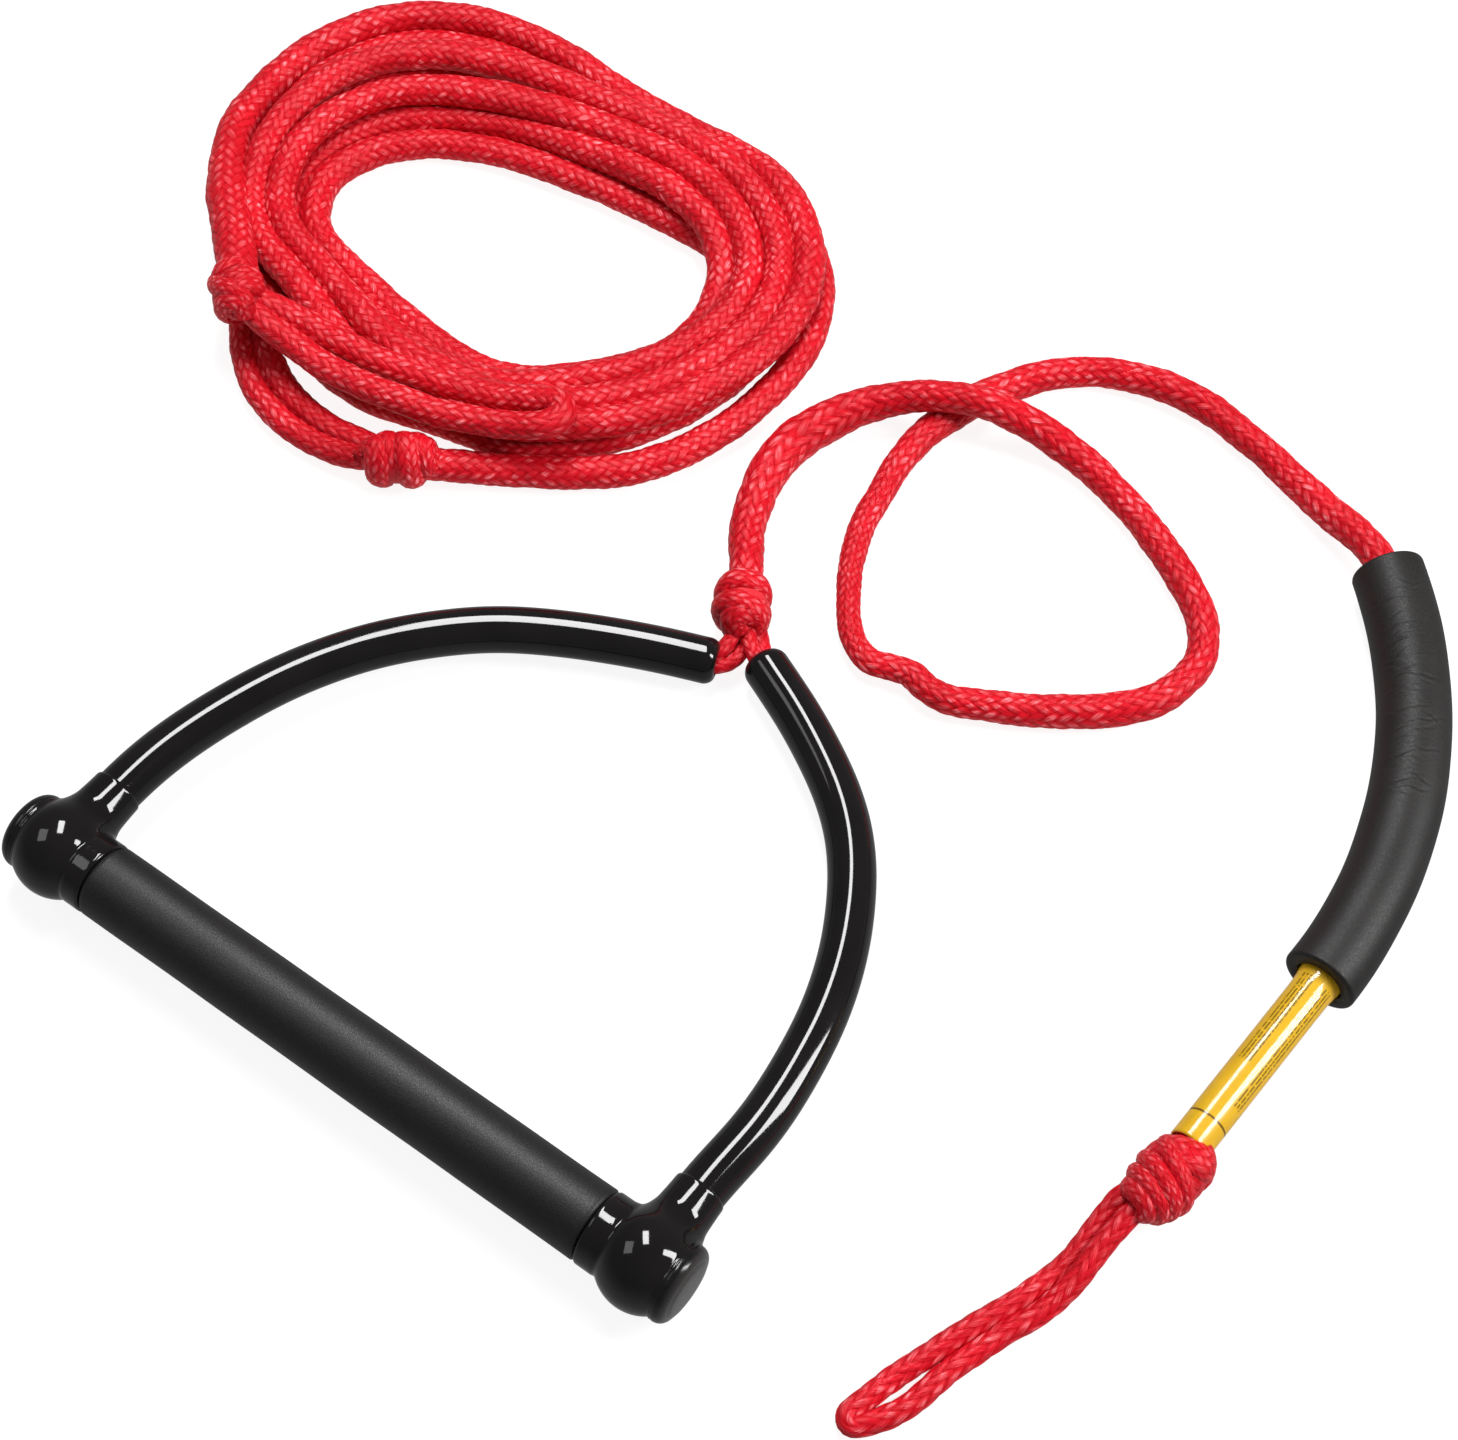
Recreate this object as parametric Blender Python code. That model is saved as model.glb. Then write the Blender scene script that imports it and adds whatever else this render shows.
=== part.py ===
"""Tow rope handle: a foam-gripped bar with end boots, two curved arm tubes over
a bridle rope, a knotted handle line with a foam float, a label sleeve and an
end loop, and the coiled tow line that belongs with it.

Everything is written in millimetres about the bar: the bar's axis is y = 0,
z = BAR_Z, it runs along X, and the arms reach out along +Y. at() turns that
into the part's own frame in metres (origin under the middle of the handle).
The whole thing lies on the plane z = 0.
"""
import math

import bmesh
import bpy
from mathutils import Matrix, Vector

for obj in list(bpy.data.objects):
    bpy.data.objects.remove(obj, do_unlink=True)

# ---------------------------------------------------------------- sizes, mm
MID_Y = 116.5          # handle's middle, measured from the bar's axis
BAR_Z = 18.5           # bar axis height: the end balls stand on the floor
HALF_BAR = 152.5       # half of the 305 mm (12 in) bar
GRIP_R = 14.25
GRIP_HALF = 113.2
CORE_R = 11.1          # 22.2 mm aluminium tube, 1.5 mm wall
CORE_BORE = 9.6
CORE_HALF = 145.0
BALL_X = 134.5         # middle of each end ball
BALL_R = 18.5
ARM_R = 9.15
ARM_BORE = 4.8
BRIDLE_R = 4.2
ROPE_R = 6.3           # 12.6 mm hollow braid
GAP = 0.3

FLOAT_C = (54.0, 242.0)    # middle of the float's bend
FLOAT_BEND = 213.0
FLOAT_TOP, FLOAT_END = 47.9, -3.9      # degrees about FLOAT_C
FLOAT_Z = 14.4
FLOAT_R = 14.3
FLOAT_BORE = 9.3

KNOT_C = Vector((3.5, 237.0, 12.3))
KNOT_U = Vector((-0.47, 0.883, 0.0)).normalized()
KNOT_AXES = (15.0, 12.0, 11.5)

END_KNOT_C = Vector((260.3, 136.6, 13.6))
END_KNOT_U = Vector((-0.19, -0.98, 0.0)).normalized()
END_KNOT_AXES = (17.5, 14.5, 13.2)

COIL_A_C = Vector((-250.0, 236.0, 30.2))
COIL_A_U = Vector((0.80, -0.60, 0.0)).normalized()
COIL_A_AXES = (13.5, 11.0, 10.0)

COIL_B_C = Vector((-150.0, 213.0, 11.5))
COIL_B_U = Vector((0.82, 0.57, 0.0)).normalized()
COIL_B_AXES = (16.0, 11.5, 11.0)


def at(p):
    """Bar millimetres to the part's frame in metres."""
    return Vector((p[0], p[1] - MID_Y, p[2])) * 0.001


# ---------------------------------------------------------------- materials
def material(name, colour, rough, metal=0.0, alpha=1.0):
    mat = bpy.data.materials.new(name)
    mat.use_nodes = True
    bsdf = mat.node_tree.nodes["Principled BSDF"]
    bsdf.inputs["Base Color"].default_value = (*colour, 1.0)
    bsdf.inputs["Roughness"].default_value = rough
    bsdf.inputs["Metallic"].default_value = metal
    bsdf.inputs["Alpha"].default_value = alpha
    mat.diffuse_color = (*colour, alpha)
    return mat


RED = (0.72, 0.02, 0.04)
GLOSS = (0.012, 0.011, 0.012)


def add(name, mesh_or_curve, colour, rough, origin=(0, 0, 0), metal=0.0, alpha=1.0):
    """Puts a data block in the scene with its origin at `origin` (bar mm)."""
    o = at(origin) if any(origin) else Vector((0, 0, 0))
    mesh_or_curve.transform(Matrix.Translation(-o))
    obj = bpy.data.objects.new(name, mesh_or_curve)
    obj.location = o
    mesh_or_curve.materials.append(material(name, colour, rough, metal, alpha))
    bpy.context.collection.objects.link(obj)
    return obj


# ---------------------------------------------------------------- helpers
def smooth(points, step):
    """A smooth curve through hand-set points, read off every `step` mm."""
    pts = [Vector(p) for p in points]
    pts = [2 * pts[0] - pts[1]] + pts + [2 * pts[-1] - pts[-2]]
    dense = []
    for a, b, c, d in zip(pts, pts[1:], pts[2:], pts[3:]):
        t0 = 0.0
        t1 = t0 + math.sqrt((b - a).length)
        t2 = t1 + math.sqrt((c - b).length)
        t3 = t2 + math.sqrt((d - c).length)
        n = max(4, int((c - b).length / 0.8))
        for i in range(n):
            t = t1 + (t2 - t1) * i / n
            a1 = a * ((t1 - t) / (t1 - t0)) + b * ((t - t0) / (t1 - t0))
            a2 = b * ((t2 - t) / (t2 - t1)) + c * ((t - t1) / (t2 - t1))
            a3 = c * ((t3 - t) / (t3 - t2)) + d * ((t - t2) / (t3 - t2))
            b1 = a1 * ((t2 - t) / (t2 - t0)) + a2 * ((t - t0) / (t2 - t0))
            b2 = a2 * ((t3 - t) / (t3 - t1)) + a3 * ((t - t1) / (t3 - t1))
            dense.append(b1 * ((t2 - t) / (t2 - t1)) + b2 * ((t - t1) / (t2 - t1)))
    dense.append(pts[-2].copy())
    return resample(dense, step)


def resample(dense, step):
    total = sum((b - a).length for a, b in zip(dense, dense[1:]))
    n = max(2, round(total / step))
    out, want, run = [dense[0].copy()], total / n, 0.0
    for a, b in zip(dense, dense[1:]):
        seg = (b - a).length
        while seg > 0 and run + seg >= want * len(out) and len(out) < n:
            out.append(a + (b - a) * ((want * len(out) - run) / seg))
        run += seg
    out.append(dense[-1].copy())
    return out


def clear_of(points, centre, u, axes, gap, end):
    """Cuts a fine path short where it would enter a knot."""
    side = Vector((-u.y, u.x, 0))
    def value(p):
        d = p - centre
        return ((d.dot(u) / (axes[0] + gap)) ** 2 + (d.dot(side) / (axes[1] + gap)) ** 2
                + (d.z / (axes[2] + gap)) ** 2)
    pts = list(points)
    if end:
        pts.reverse()
    for i, p in enumerate(pts):
        if value(p) > 1.0:
            pts = pts[i:]
            break
    if end:
        pts.reverse()
    return pts


def frames(path):
    """Tangent and two normals that don't twist, for each point of a path."""
    out = []
    tangents = []
    for i in range(len(path)):
        a = path[max(0, i - 1)]
        b = path[min(len(path) - 1, i + 1)]
        tangents.append((b - a).normalized())
    n = Vector((0, 0, 1))
    n = (n - tangents[0] * n.dot(tangents[0])).normalized()
    for t in tangents:
        n = (n - t * n.dot(t)).normalized()
        out.append((t, n, t.cross(n)))
    return out


def pipe(path, radii, bore, sides):
    """A hollow tube swept along a path, with flat annular ends."""
    bm = bmesh.new()
    rings = []
    frame = frames(path)
    bores = bore if isinstance(bore, list) else [bore] * len(path)
    for radius_list in (radii, bores):
        rows = []
        for p, (t, n, b), r in zip(path, frame, radius_list):
            rows.append([bm.verts.new(at(p + (n * math.cos(k * math.tau / sides)
                                              + b * math.sin(k * math.tau / sides)) * r))
                         for k in range(sides)])
        rings.append(rows)
    outer, inner = rings
    for i in range(len(path) - 1):
        for k in range(sides):
            m = (k + 1) % sides
            bm.faces.new((outer[i][k], outer[i][m], outer[i + 1][m], outer[i + 1][k]))
            bm.faces.new((inner[i][k], inner[i + 1][k], inner[i + 1][m], inner[i][m]))
    for k in range(sides):
        m = (k + 1) % sides
        bm.faces.new((outer[0][k], inner[0][k], inner[0][m], outer[0][m]))
        bm.faces.new((outer[-1][k], outer[-1][m], inner[-1][m], inner[-1][k]))
    bmesh.ops.recalc_face_normals(bm, faces=bm.faces)
    mesh = bpy.data.meshes.new("pipe")
    bm.to_mesh(mesh)
    bm.free()
    return mesh


def lathe(profile, sides, turn=0.0):
    """Spins a closed profile of (x, r) about the bar's axis."""
    bm = bmesh.new()
    rows = []
    for x, r in profile:
        if r < 1e-6:
            rows.append([bm.verts.new(at((x, 0, BAR_Z)))])
        else:
            rows.append([bm.verts.new(at((x, r * math.cos(turn + k * math.tau / sides),
                                          BAR_Z + r * math.sin(turn + k * math.tau / sides))))
                         for k in range(sides)])
    n = len(rows)
    for i in range(n):
        a, b = rows[i], rows[(i + 1) % n]
        if len(a) == 1 and len(b) == 1:
            continue
        for k in range(sides):
            m = (k + 1) % sides
            if len(a) == 1:
                bm.faces.new((a[0], b[k], b[m]))
            elif len(b) == 1:
                bm.faces.new((a[k], a[m], b[0]))
            else:
                bm.faces.new((a[k], a[m], b[m], b[k]))
    bmesh.ops.recalc_face_normals(bm, faces=bm.faces)
    mesh = bpy.data.meshes.new("lathe")
    bm.to_mesh(mesh)
    bm.free()
    return mesh


def rope(path, radius, resolution=4):
    """A cord tube: a poly curve with a round bevel and filled caps."""
    curve = bpy.data.curves.new("rope", "CURVE")
    curve.dimensions = "3D"
    curve.bevel_depth = radius * 0.001
    curve.bevel_resolution = resolution
    curve.use_fill_caps = True
    spline = curve.splines.new("POLY")
    spline.points.add(len(path) - 1)
    for point, p in zip(spline.points, path):
        point.co = (*at(p), 1.0)
    return curve


def knot(centre, u, axes, segments=14, rings=8):
    """A plain egg the size of a tied knot, its long axis along u."""
    bm = bmesh.new()
    bmesh.ops.create_uvsphere(bm, u_segments=segments, v_segments=rings, radius=1.0)
    side = Vector((-u.y, u.x, 0))
    turn = Matrix((u, side, Vector((0, 0, 1)))).transposed().to_4x4()
    size = Matrix.Diagonal((axes[0], axes[1], axes[2], 1000.0)) * 0.001
    size[3][3] = 1.0
    bmesh.ops.transform(bm, matrix=Matrix.Translation(at(centre)) @ turn @ size, verts=bm.verts)
    mesh = bpy.data.meshes.new("knot")
    bm.to_mesh(mesh)
    bm.free()
    return mesh


def cylinder(a, b, radius, sides=24):
    """A plain rod between two points, used as a cutter."""
    a, b = Vector(a), Vector(b)
    bm = bmesh.new()
    bmesh.ops.create_cone(bm, cap_ends=True, segments=sides, radius1=radius * 0.001,
                          radius2=radius * 0.001, depth=(b - a).length * 0.001)
    turn = (b - a).to_track_quat("Z", "X").to_matrix().to_4x4()
    bmesh.ops.transform(bm, matrix=Matrix.Translation(at((a + b) / 2)) @ turn, verts=bm.verts)
    mesh = bpy.data.meshes.new("cutter")
    bm.to_mesh(mesh)
    bm.free()
    return mesh


def boolean(mesh, cutter_mesh, operation):
    """One exact Boolean between two closed meshes, applied."""
    obj = bpy.data.objects.new("work", mesh)
    cutter = bpy.data.objects.new("cut", cutter_mesh)
    for o in (obj, cutter):
        bpy.context.collection.objects.link(o)
    mod = obj.modifiers.new("cut", "BOOLEAN")
    mod.operation = operation
    mod.solver = "EXACT"
    mod.object = cutter
    bpy.context.view_layer.update()
    depsgraph = bpy.context.evaluated_depsgraph_get()
    result = bpy.data.meshes.new_from_object(obj.evaluated_get(depsgraph))
    bpy.data.objects.remove(obj, do_unlink=True)
    bpy.data.objects.remove(cutter, do_unlink=True)
    result.materials.clear()
    return result


# ---------------------------------------------------------------- the bar
# Core tube: drilled through its +Y wall at each ball for the bridle rope.
core = lathe([(-CORE_HALF, CORE_R), (CORE_HALF, CORE_R), (CORE_HALF, CORE_BORE),
              (-CORE_HALF, CORE_BORE)], 32)
for s in (-1, 1):
    core = boolean(core, cylinder((s * BALL_X, 6.0, BAR_Z), (s * BALL_X, 14.0, BAR_Z), 4.9, 20),
                   "DIFFERENCE")
add("core_tube", core, (0.75, 0.76, 0.78), 0.3, metal=1.0)

# Flotation foam rod inside the core tube.
add("core_foam", lathe([(-118, 0), (-118, 9.3), (118, 9.3), (118, 0)], 32),
    (0.85, 0.85, 0.82), 0.9)

# Foam grip sleeve, slightly rounded at its ends.
add("grip_sleeve", lathe([(-GRIP_HALF, 11.35), (-GRIP_HALF, GRIP_R - 0.6),
                          (-GRIP_HALF + 0.6, GRIP_R), (GRIP_HALF - 0.6, GRIP_R),
                          (GRIP_HALF, GRIP_R - 0.6), (GRIP_HALF, 11.35)], 32),
    (0.022, 0.021, 0.021), 0.85)

for side, s in (("left", -1), ("right", 1)):
    # End boot: collar beside the grip, fillet, ball, flat end under the plug.
    outline = [(113.5, 13.9), (114.2, 14.6), (121.5, 14.6), (123.6, 14.9), (125.4, 16.2),
               (127.8, 17.6), (131.0, 18.3), (134.5, 18.5), (138.5, 18.3), (142.0, 17.5),
               (144.6, 16.3), (146.0, 15.3), (146.0, 11.35), (113.5, 11.35)]
    boot = lathe([(s * x, r) for x, r in outline], 32)
    # Neck: a flared boss along +Y that the arm tube is moulded into.
    neck = [(12.0, 11.2), (15.0, 11.3), (17.5, 11.1), (20.5, 10.8), (25.0, 10.55),
            (30.0, 10.35), (35.0, 10.2)]
    bm = bmesh.new()
    rows = [[bm.verts.new(at((s * BALL_X + r * math.cos(k * math.tau / 24), y,
                              BAR_Z + r * math.sin(k * math.tau / 24)))) for k in range(24)]
            for y, r in neck]
    for a, b in zip(rows, rows[1:]):
        for k in range(24):
            m = (k + 1) % 24
            bm.faces.new((a[k], a[m], b[m], b[k]))
    bm.faces.new(rows[0])
    bm.faces.new(rows[-1])
    bmesh.ops.recalc_face_normals(bm, faces=bm.faces)
    neck_mesh = bpy.data.meshes.new("neck")
    bm.to_mesh(neck_mesh)
    bm.free()
    boot = boolean(boot, neck_mesh, "UNION")
    boot = boolean(boot, cylinder((s * BALL_X, 18.7, BAR_Z), (s * BALL_X, 38.0, BAR_Z),
                                  ARM_R + GAP, 24), "DIFFERENCE")
    boot = boolean(boot, cylinder((s * BALL_X, 9.0, BAR_Z), (s * BALL_X, 22.0, BAR_Z),
                                  4.9, 20), "DIFFERENCE")
    add("end_boot_" + side, boot, GLOSS, 0.08)
    # End plug: flanged disc with a stem in the core tube's end.
    plug = [(142.4, 0.0), (142.4, 9.0), (142.8, 9.35), (146.3, 9.35), (146.3, 15.0),
            (148.3, 15.2), (150.2, 14.6), (151.6, 13.3), (152.5, 11.2), (152.5, 0.0)]
    add("end_plug_" + side, lathe([(s * x, r) for x, r in plug], 32), GLOSS, 0.1)
    # Stopper knot inside the core tube, behind the side hole.
    add("stopper_knot_" + side, knot(Vector((s * BALL_X + s * -1.0, 0.0, BAR_Z)),
                                     Vector((1, 0, 0)), (7.6, 9.0, 9.0), 12, 8), RED, 0.5)

# ---------------------------------------------------------------- the arms
LEFT_ARM = [(-134.5, 19.0, 18.5), (-134.5, 30.0, 18.5), (-134.4, 38.0, 18.4), (-133.2, 52.0, 17.9), (-129.8, 70.0, 17.1),
            (-125.6, 85.0, 16.4), (-121.0, 99.0, 15.8), (-115.0, 113.0, 15.1), (-107.5, 127.0, 14.5),
            (-99.0, 140.0, 13.9), (-89.0, 152.0, 13.3), (-78.5, 163.0, 12.7), (-67.0, 173.0, 12.2),
            (-54.0, 181.5, 11.7), (-40.0, 189.5, 11.2), (-26.0, 196.5, 10.7), (-12.0, 203.0, 10.2),
            (0.0, 207.8, 9.8), (7.6, 210.7, 9.6)]
RIGHT_ARM = [(134.5, 19.0, 18.5), (134.5, 30.0, 18.5), (134.7, 38.0, 18.4), (136.0, 50.0, 17.9), (136.6, 64.0, 17.3),
             (135.5, 79.0, 16.7), (133.5, 94.0, 16.1), (130.5, 110.0, 15.5), (126.0, 125.0, 14.9),
             (120.0, 140.0, 14.2), (112.0, 155.0, 13.6), (103.0, 169.0, 13.0), (91.5, 182.0, 12.4),
             (78.0, 193.0, 11.8), (63.0, 202.5, 11.2), (48.0, 211.0, 10.6), (33.0, 218.0, 10.0),
             (25.5, 221.6, 9.6)]
LEFT_TAIL = [(7.6, 210.7, 9.6), (10.6, 211.9, 9.6), (13.4, 214.0, 9.8), (13.8, 217.2, 10.3),
             (12.0, 221.0, 11.0), (9.5, 226.0, 12.0)]
RIGHT_TAIL = [(25.5, 221.6, 9.6), (23.0, 222.9, 9.6), (21.0, 224.8, 9.8), (19.4, 227.4, 10.2), (16.0, 231.6, 10.9),
              (10.0, 235.5, 11.8)]

for side, route, tail in (("left", LEFT_ARM, LEFT_TAIL), ("right", RIGHT_ARM, RIGHT_TAIL)):
    s = -1 if side == "left" else 1
    path = smooth(route, 12.0)
    radii = [ARM_R] * len(path)
    # Rounded tip: two short extra stations pull the rim in.
    t = (path[-1] - path[-2]).normalized()
    path += [path[-1] + t * 1.6, path[-1] + t * 2.4]
    radii += [ARM_R - 1.1, ARM_R - 2.6]
    bores = [ARM_BORE] * (len(path) - 2) + [ARM_BORE + 0.4, ARM_BORE + 1.0]
    add("arm_tube_" + side, pipe(path, radii, bores, 16), GLOSS, 0.07)
    # Bridle rope: from the stopper knot, through the arm, to the handle knot.
    inside = [(s * BALL_X, 9.6, BAR_Z), (s * BALL_X, 14.0, BAR_Z)] + route[:-1]
    line = smooth(inside + tail, 0.5)
    line = clear_of(line, KNOT_C, KNOT_U, KNOT_AXES, 1.9, True)
    add("bridle_rope_" + side, rope(resample(line, 9.0), BRIDLE_R, 2), RED, 0.5)

add("handle_knot", knot(KNOT_C, KNOT_U, KNOT_AXES), RED, 0.5)

# ---------------------------------------------------------------- float and label
def on_bend(deg, z=FLOAT_Z, r=FLOAT_BEND):
    a = math.radians(deg)
    return Vector((FLOAT_C[0] + r * math.cos(a), FLOAT_C[1] + r * math.sin(a), z))


# The label sleeve lies on the tangent just inside the float's lower end.
TANGENT = -3.5
LABEL_DIR = Vector((math.sin(math.radians(TANGENT)), -math.cos(math.radians(TANGENT)), 0.0))
LABEL_START = on_bend(TANGENT) - LABEL_DIR * 12.0
LABEL_STOP = on_bend(TANGENT) + LABEL_DIR * 73.0

bend = [on_bend(FLOAT_TOP + (FLOAT_END - FLOAT_TOP) * i / 16) for i in range(17)]
add("float_sleeve", pipe(bend, [FLOAT_R] * 17, FLOAT_BORE, 20), (0.045, 0.042, 0.041), 0.8,
    origin=(FLOAT_C[0], FLOAT_C[1], FLOAT_Z))

label = [LABEL_START + (LABEL_STOP - LABEL_START) * i / 4 for i in range(5)]
add("label_sleeve", pipe(label, [7.85] * 5, 7.3, 24), (0.9, 0.9, 0.88), 0.1, origin=LABEL_STOP,
    alpha=0.35)
wrap = [LABEL_START + LABEL_DIR * 1.5, LABEL_STOP - LABEL_DIR * 1.0]
add("label_wrap", pipe(wrap, [7.1] * 2, 6.8, 24), (0.83, 0.5, 0.06), 0.5, origin=LABEL_STOP)

# ---------------------------------------------------------------- the handle line
LINE = [(3.5, 237.0, 12.3), (-5.0, 251.5, 12.2), (-11.0, 260.0, 10.5), (-17.5, 270.0, 8.2),
        (-23.5, 283.0, 6.8), (-27.5, 299.0, 6.5), (-28.0, 314.0, 6.5), (-23.5, 331.0, 7.0),
        (-14.5, 345.5, 9.2), (-1.5, 356.5, 14.5), (14.5, 364.5, 18.8), (29.0, 370.5, 18.8),
        (44.0, 376.0, 14.0), (60.5, 378.0, 8.8), (79.0, 376.0, 6.7), (101.0, 369.0, 6.4),
        (122.0, 359.5, 6.4), (140.0, 349.0, 6.4), (153.5, 337.0, 6.4), (160.0, 322.5, 6.4),
        (158.5, 306.0, 6.4), (149.0, 290.0, 6.4), (134.0, 277.0, 6.4), (116.5, 266.0, 6.4),
        (99.0, 256.5, 6.4), (82.0, 251.0, 6.4), (67.0, 249.0, 6.4), (53.5, 249.0, 6.4),
        (41.5, 256.5, 6.4), (29.0, 273.5, 6.4), (19.5, 293.0, 6.4), (13.0, 314.0, 6.4),
        (10.0, 337.0, 6.4), (14.5, 361.0, 6.4), (22.5, 383.0, 6.4), (35.0, 403.5, 6.4),
        (50.0, 417.5, 6.4), (66.0, 426.0, 6.4), (83.0, 430.0, 6.4), (101.0, 430.5, 6.4),
        (124.0, 426.0, 6.4), (147.0, 419.5, 6.7), (166.0, 413.0, 8.6), (180.0, 408.0, 11.6),
        (190.0, 403.6, 13.8)]
LINE += [tuple(on_bend(a)) for a in (47.0, 43.0, 39.0, 35.0, 31.0, 27.0, 23.0, 19.0, 15.0, 11.0,
                                     7.0, 3.0)]
LINE += [tuple(LABEL_START + LABEL_DIR * k) for k in (2.0, 16.0, 30.0, 44.0, 58.0, 72.0, 86.0)]
LINE += [tuple(END_KNOT_C)]
line = smooth(LINE, 0.5)
line = clear_of(line, KNOT_C, KNOT_U, KNOT_AXES, 0.6, False)
line = clear_of(line, END_KNOT_C, END_KNOT_U, END_KNOT_AXES, 0.7, True)
add("handle_line", rope(resample(line, 17.0), ROPE_R, 3), RED, 0.5, origin=KNOT_C)

add("end_knot", knot(END_KNOT_C, END_KNOT_U, END_KNOT_AXES), RED, 0.5, origin=KNOT_C)

# End loop: one strand out from the knot and back beside itself.
LOOP = [(260.3, 136.6, 13.6), (252.5, 119.0, 11.5), (250.0, 104.0, 6.8), (248.5, 86.0, 4.2),
        (245.5, 70.0, 3.8), (240.0, 55.0, 3.8), (233.5, 41.0, 3.8), (227.5, 26.0, 3.8),
        (221.0, 9.0, 3.8), (216.0, -4.0, 3.8), (215.5, -10.5, 3.8), (220.0, -13.5, 3.8),
        (225.0, -9.0, 3.8), (230.0, 4.0, 3.8), (236.5, 21.0, 3.8), (242.0, 36.5, 3.8),
        (248.0, 51.5, 3.8), (253.5, 67.5, 3.8), (256.5, 84.5, 4.2), (258.2, 103.0, 6.8),
        (260.8, 118.0, 11.5), (260.3, 136.6, 13.6)]
half = len(LOOP) // 2
loop = smooth(LOOP, 0.4)
loop = clear_of(loop, END_KNOT_C, END_KNOT_U, END_KNOT_AXES, 0.6, False)
loop = clear_of(loop, END_KNOT_C, END_KNOT_U, END_KNOT_AXES, 0.6, True)
add("end_loop", rope(resample(loop, 6.0), 3.5, 2), RED, 0.5, origin=END_KNOT_C)

# ---------------------------------------------------------------- the tow line coil
# Bundle of turns as one closed ring: (outer x, y, inner x, y, top z).
RING = [(-120.0, 226.0, -140.0, 272.0, 18.5), (-104.0, 235.5, -130.0, 285.0, 19.5),
        (-83.0, 248.0, -120.0, 294.0, 24.0), (-64.0, 272.0, -108.0, 305.0, 30.0),
        (-53.0, 305.0, -98.0, 318.0, 30.0), (-48.0, 345.0, -92.0, 336.0, 30.0),
        (-54.0, 377.0, -93.0, 352.0, 30.0), (-70.0, 402.0, -99.0, 364.0, 30.0),
        (-95.0, 420.0, -110.0, 372.0, 30.0), (-123.0, 429.0, -123.0, 376.0, 30.0),
        (-159.0, 429.0, -154.0, 377.0, 30.0), (-190.0, 428.0, -185.0, 372.0, 30.0),
        (-234.0, 434.0, -215.0, 364.0, 30.0), (-275.0, 430.0, -241.0, 352.0, 30.0),
        (-304.0, 416.0, -254.0, 342.0, 30.0), (-324.0, 388.0, -263.0, 332.0, 30.0),
        (-330.0, 355.0, -270.0, 320.0, 30.0), (-324.0, 318.0, -271.0, 308.0, 28.0),
        (-308.0, 282.0, -266.0, 297.0, 24.0), (-292.0, 260.0, -258.0, 288.0, 20.0),
        (-273.0, 249.0, -248.0, 283.0, 18.5), (-250.0, 247.0, -236.0, 281.0, 18.5),
        (-229.0, 236.0, -222.0, 279.0, 18.5), (-207.0, 222.0, -205.0, 276.0, 18.5),
        (-186.0, 217.0, -188.0, 273.0, 18.5), (-168.0, 223.0, -172.0, 270.0, 18.5),
        (-152.0, 233.0, -160.0, 268.0, 18.5), (-134.0, 238.0, -149.0, 268.0, 18.5)]
bm = bmesh.new()
rows = []
for ox, oy, ix, iy, top in RING:
    row = []
    # rounded box across the bundle, from floor to top
    for f, h in ((0.07, 0.0), (0.93, 0.0), (0.985, 0.12), (1.0, 0.4), (0.96, 0.78), (0.82, 0.97),
                 (0.6, 1.0), (0.4, 1.0), (0.18, 0.97), (0.04, 0.78), (0.0, 0.4), (0.015, 0.12)):
        x, y = ox + (ix - ox) * f, oy + (iy - oy) * f
        row.append(bm.verts.new(at((x, y, 0.2 + h * (top - 0.2)))))
    rows.append(row)
for i, a in enumerate(rows):
    b = rows[(i + 1) % len(rows)]
    for k in range(12):
        m = (k + 1) % 12
        bm.faces.new((a[k], a[m], b[m], b[k]))
bmesh.ops.recalc_face_normals(bm, faces=bm.faces)
ring = bpy.data.meshes.new("ring")
bm.to_mesh(ring)
bm.free()
add("tow_line_coil", ring, RED, 0.5)

add("coil_knot_a", knot(COIL_A_C, COIL_A_U, COIL_A_AXES), RED, 0.5)
add("coil_knot_b", knot(COIL_B_C, COIL_B_U, COIL_B_AXES), RED, 0.5)

# Eye A lies on top of the bundle.
EYE_A = [(-250.0, 236.0, 30.2), (-234.0, 236.5, 28.0), (-216.0, 237.0, 24.8), (-198.0, 238.0, 24.6),
         (-181.0, 240.0, 24.6), (-165.0, 243.5, 24.6), (-149.0, 247.5, 24.6), (-133.0, 253.0, 24.8),
         (-117.0, 260.0, 27.0), (-106.5, 263.5, 29.5), (-101.5, 259.0, 30.0), (-104.0, 252.0, 29.5),
         (-114.0, 246.0, 27.0), (-130.0, 239.5, 24.8), (-146.0, 233.5, 24.6), (-163.0, 229.5, 24.6),
         (-180.0, 226.5, 24.6), (-198.0, 225.0, 24.6), (-215.0, 226.0, 24.8), (-232.0, 229.0, 27.5),
         (-250.0, 236.0, 30.2)]
eye = smooth(EYE_A, 0.4)
eye = clear_of(eye, COIL_A_C, COIL_A_U, COIL_A_AXES, 0.6, False)
eye = clear_of(eye, COIL_A_C, COIL_A_U, COIL_A_AXES, 0.6, True)
add("coil_eye_a", rope(resample(eye, 8.0), 5.4, 2), RED, 0.5, origin=COIL_A_C)

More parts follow.
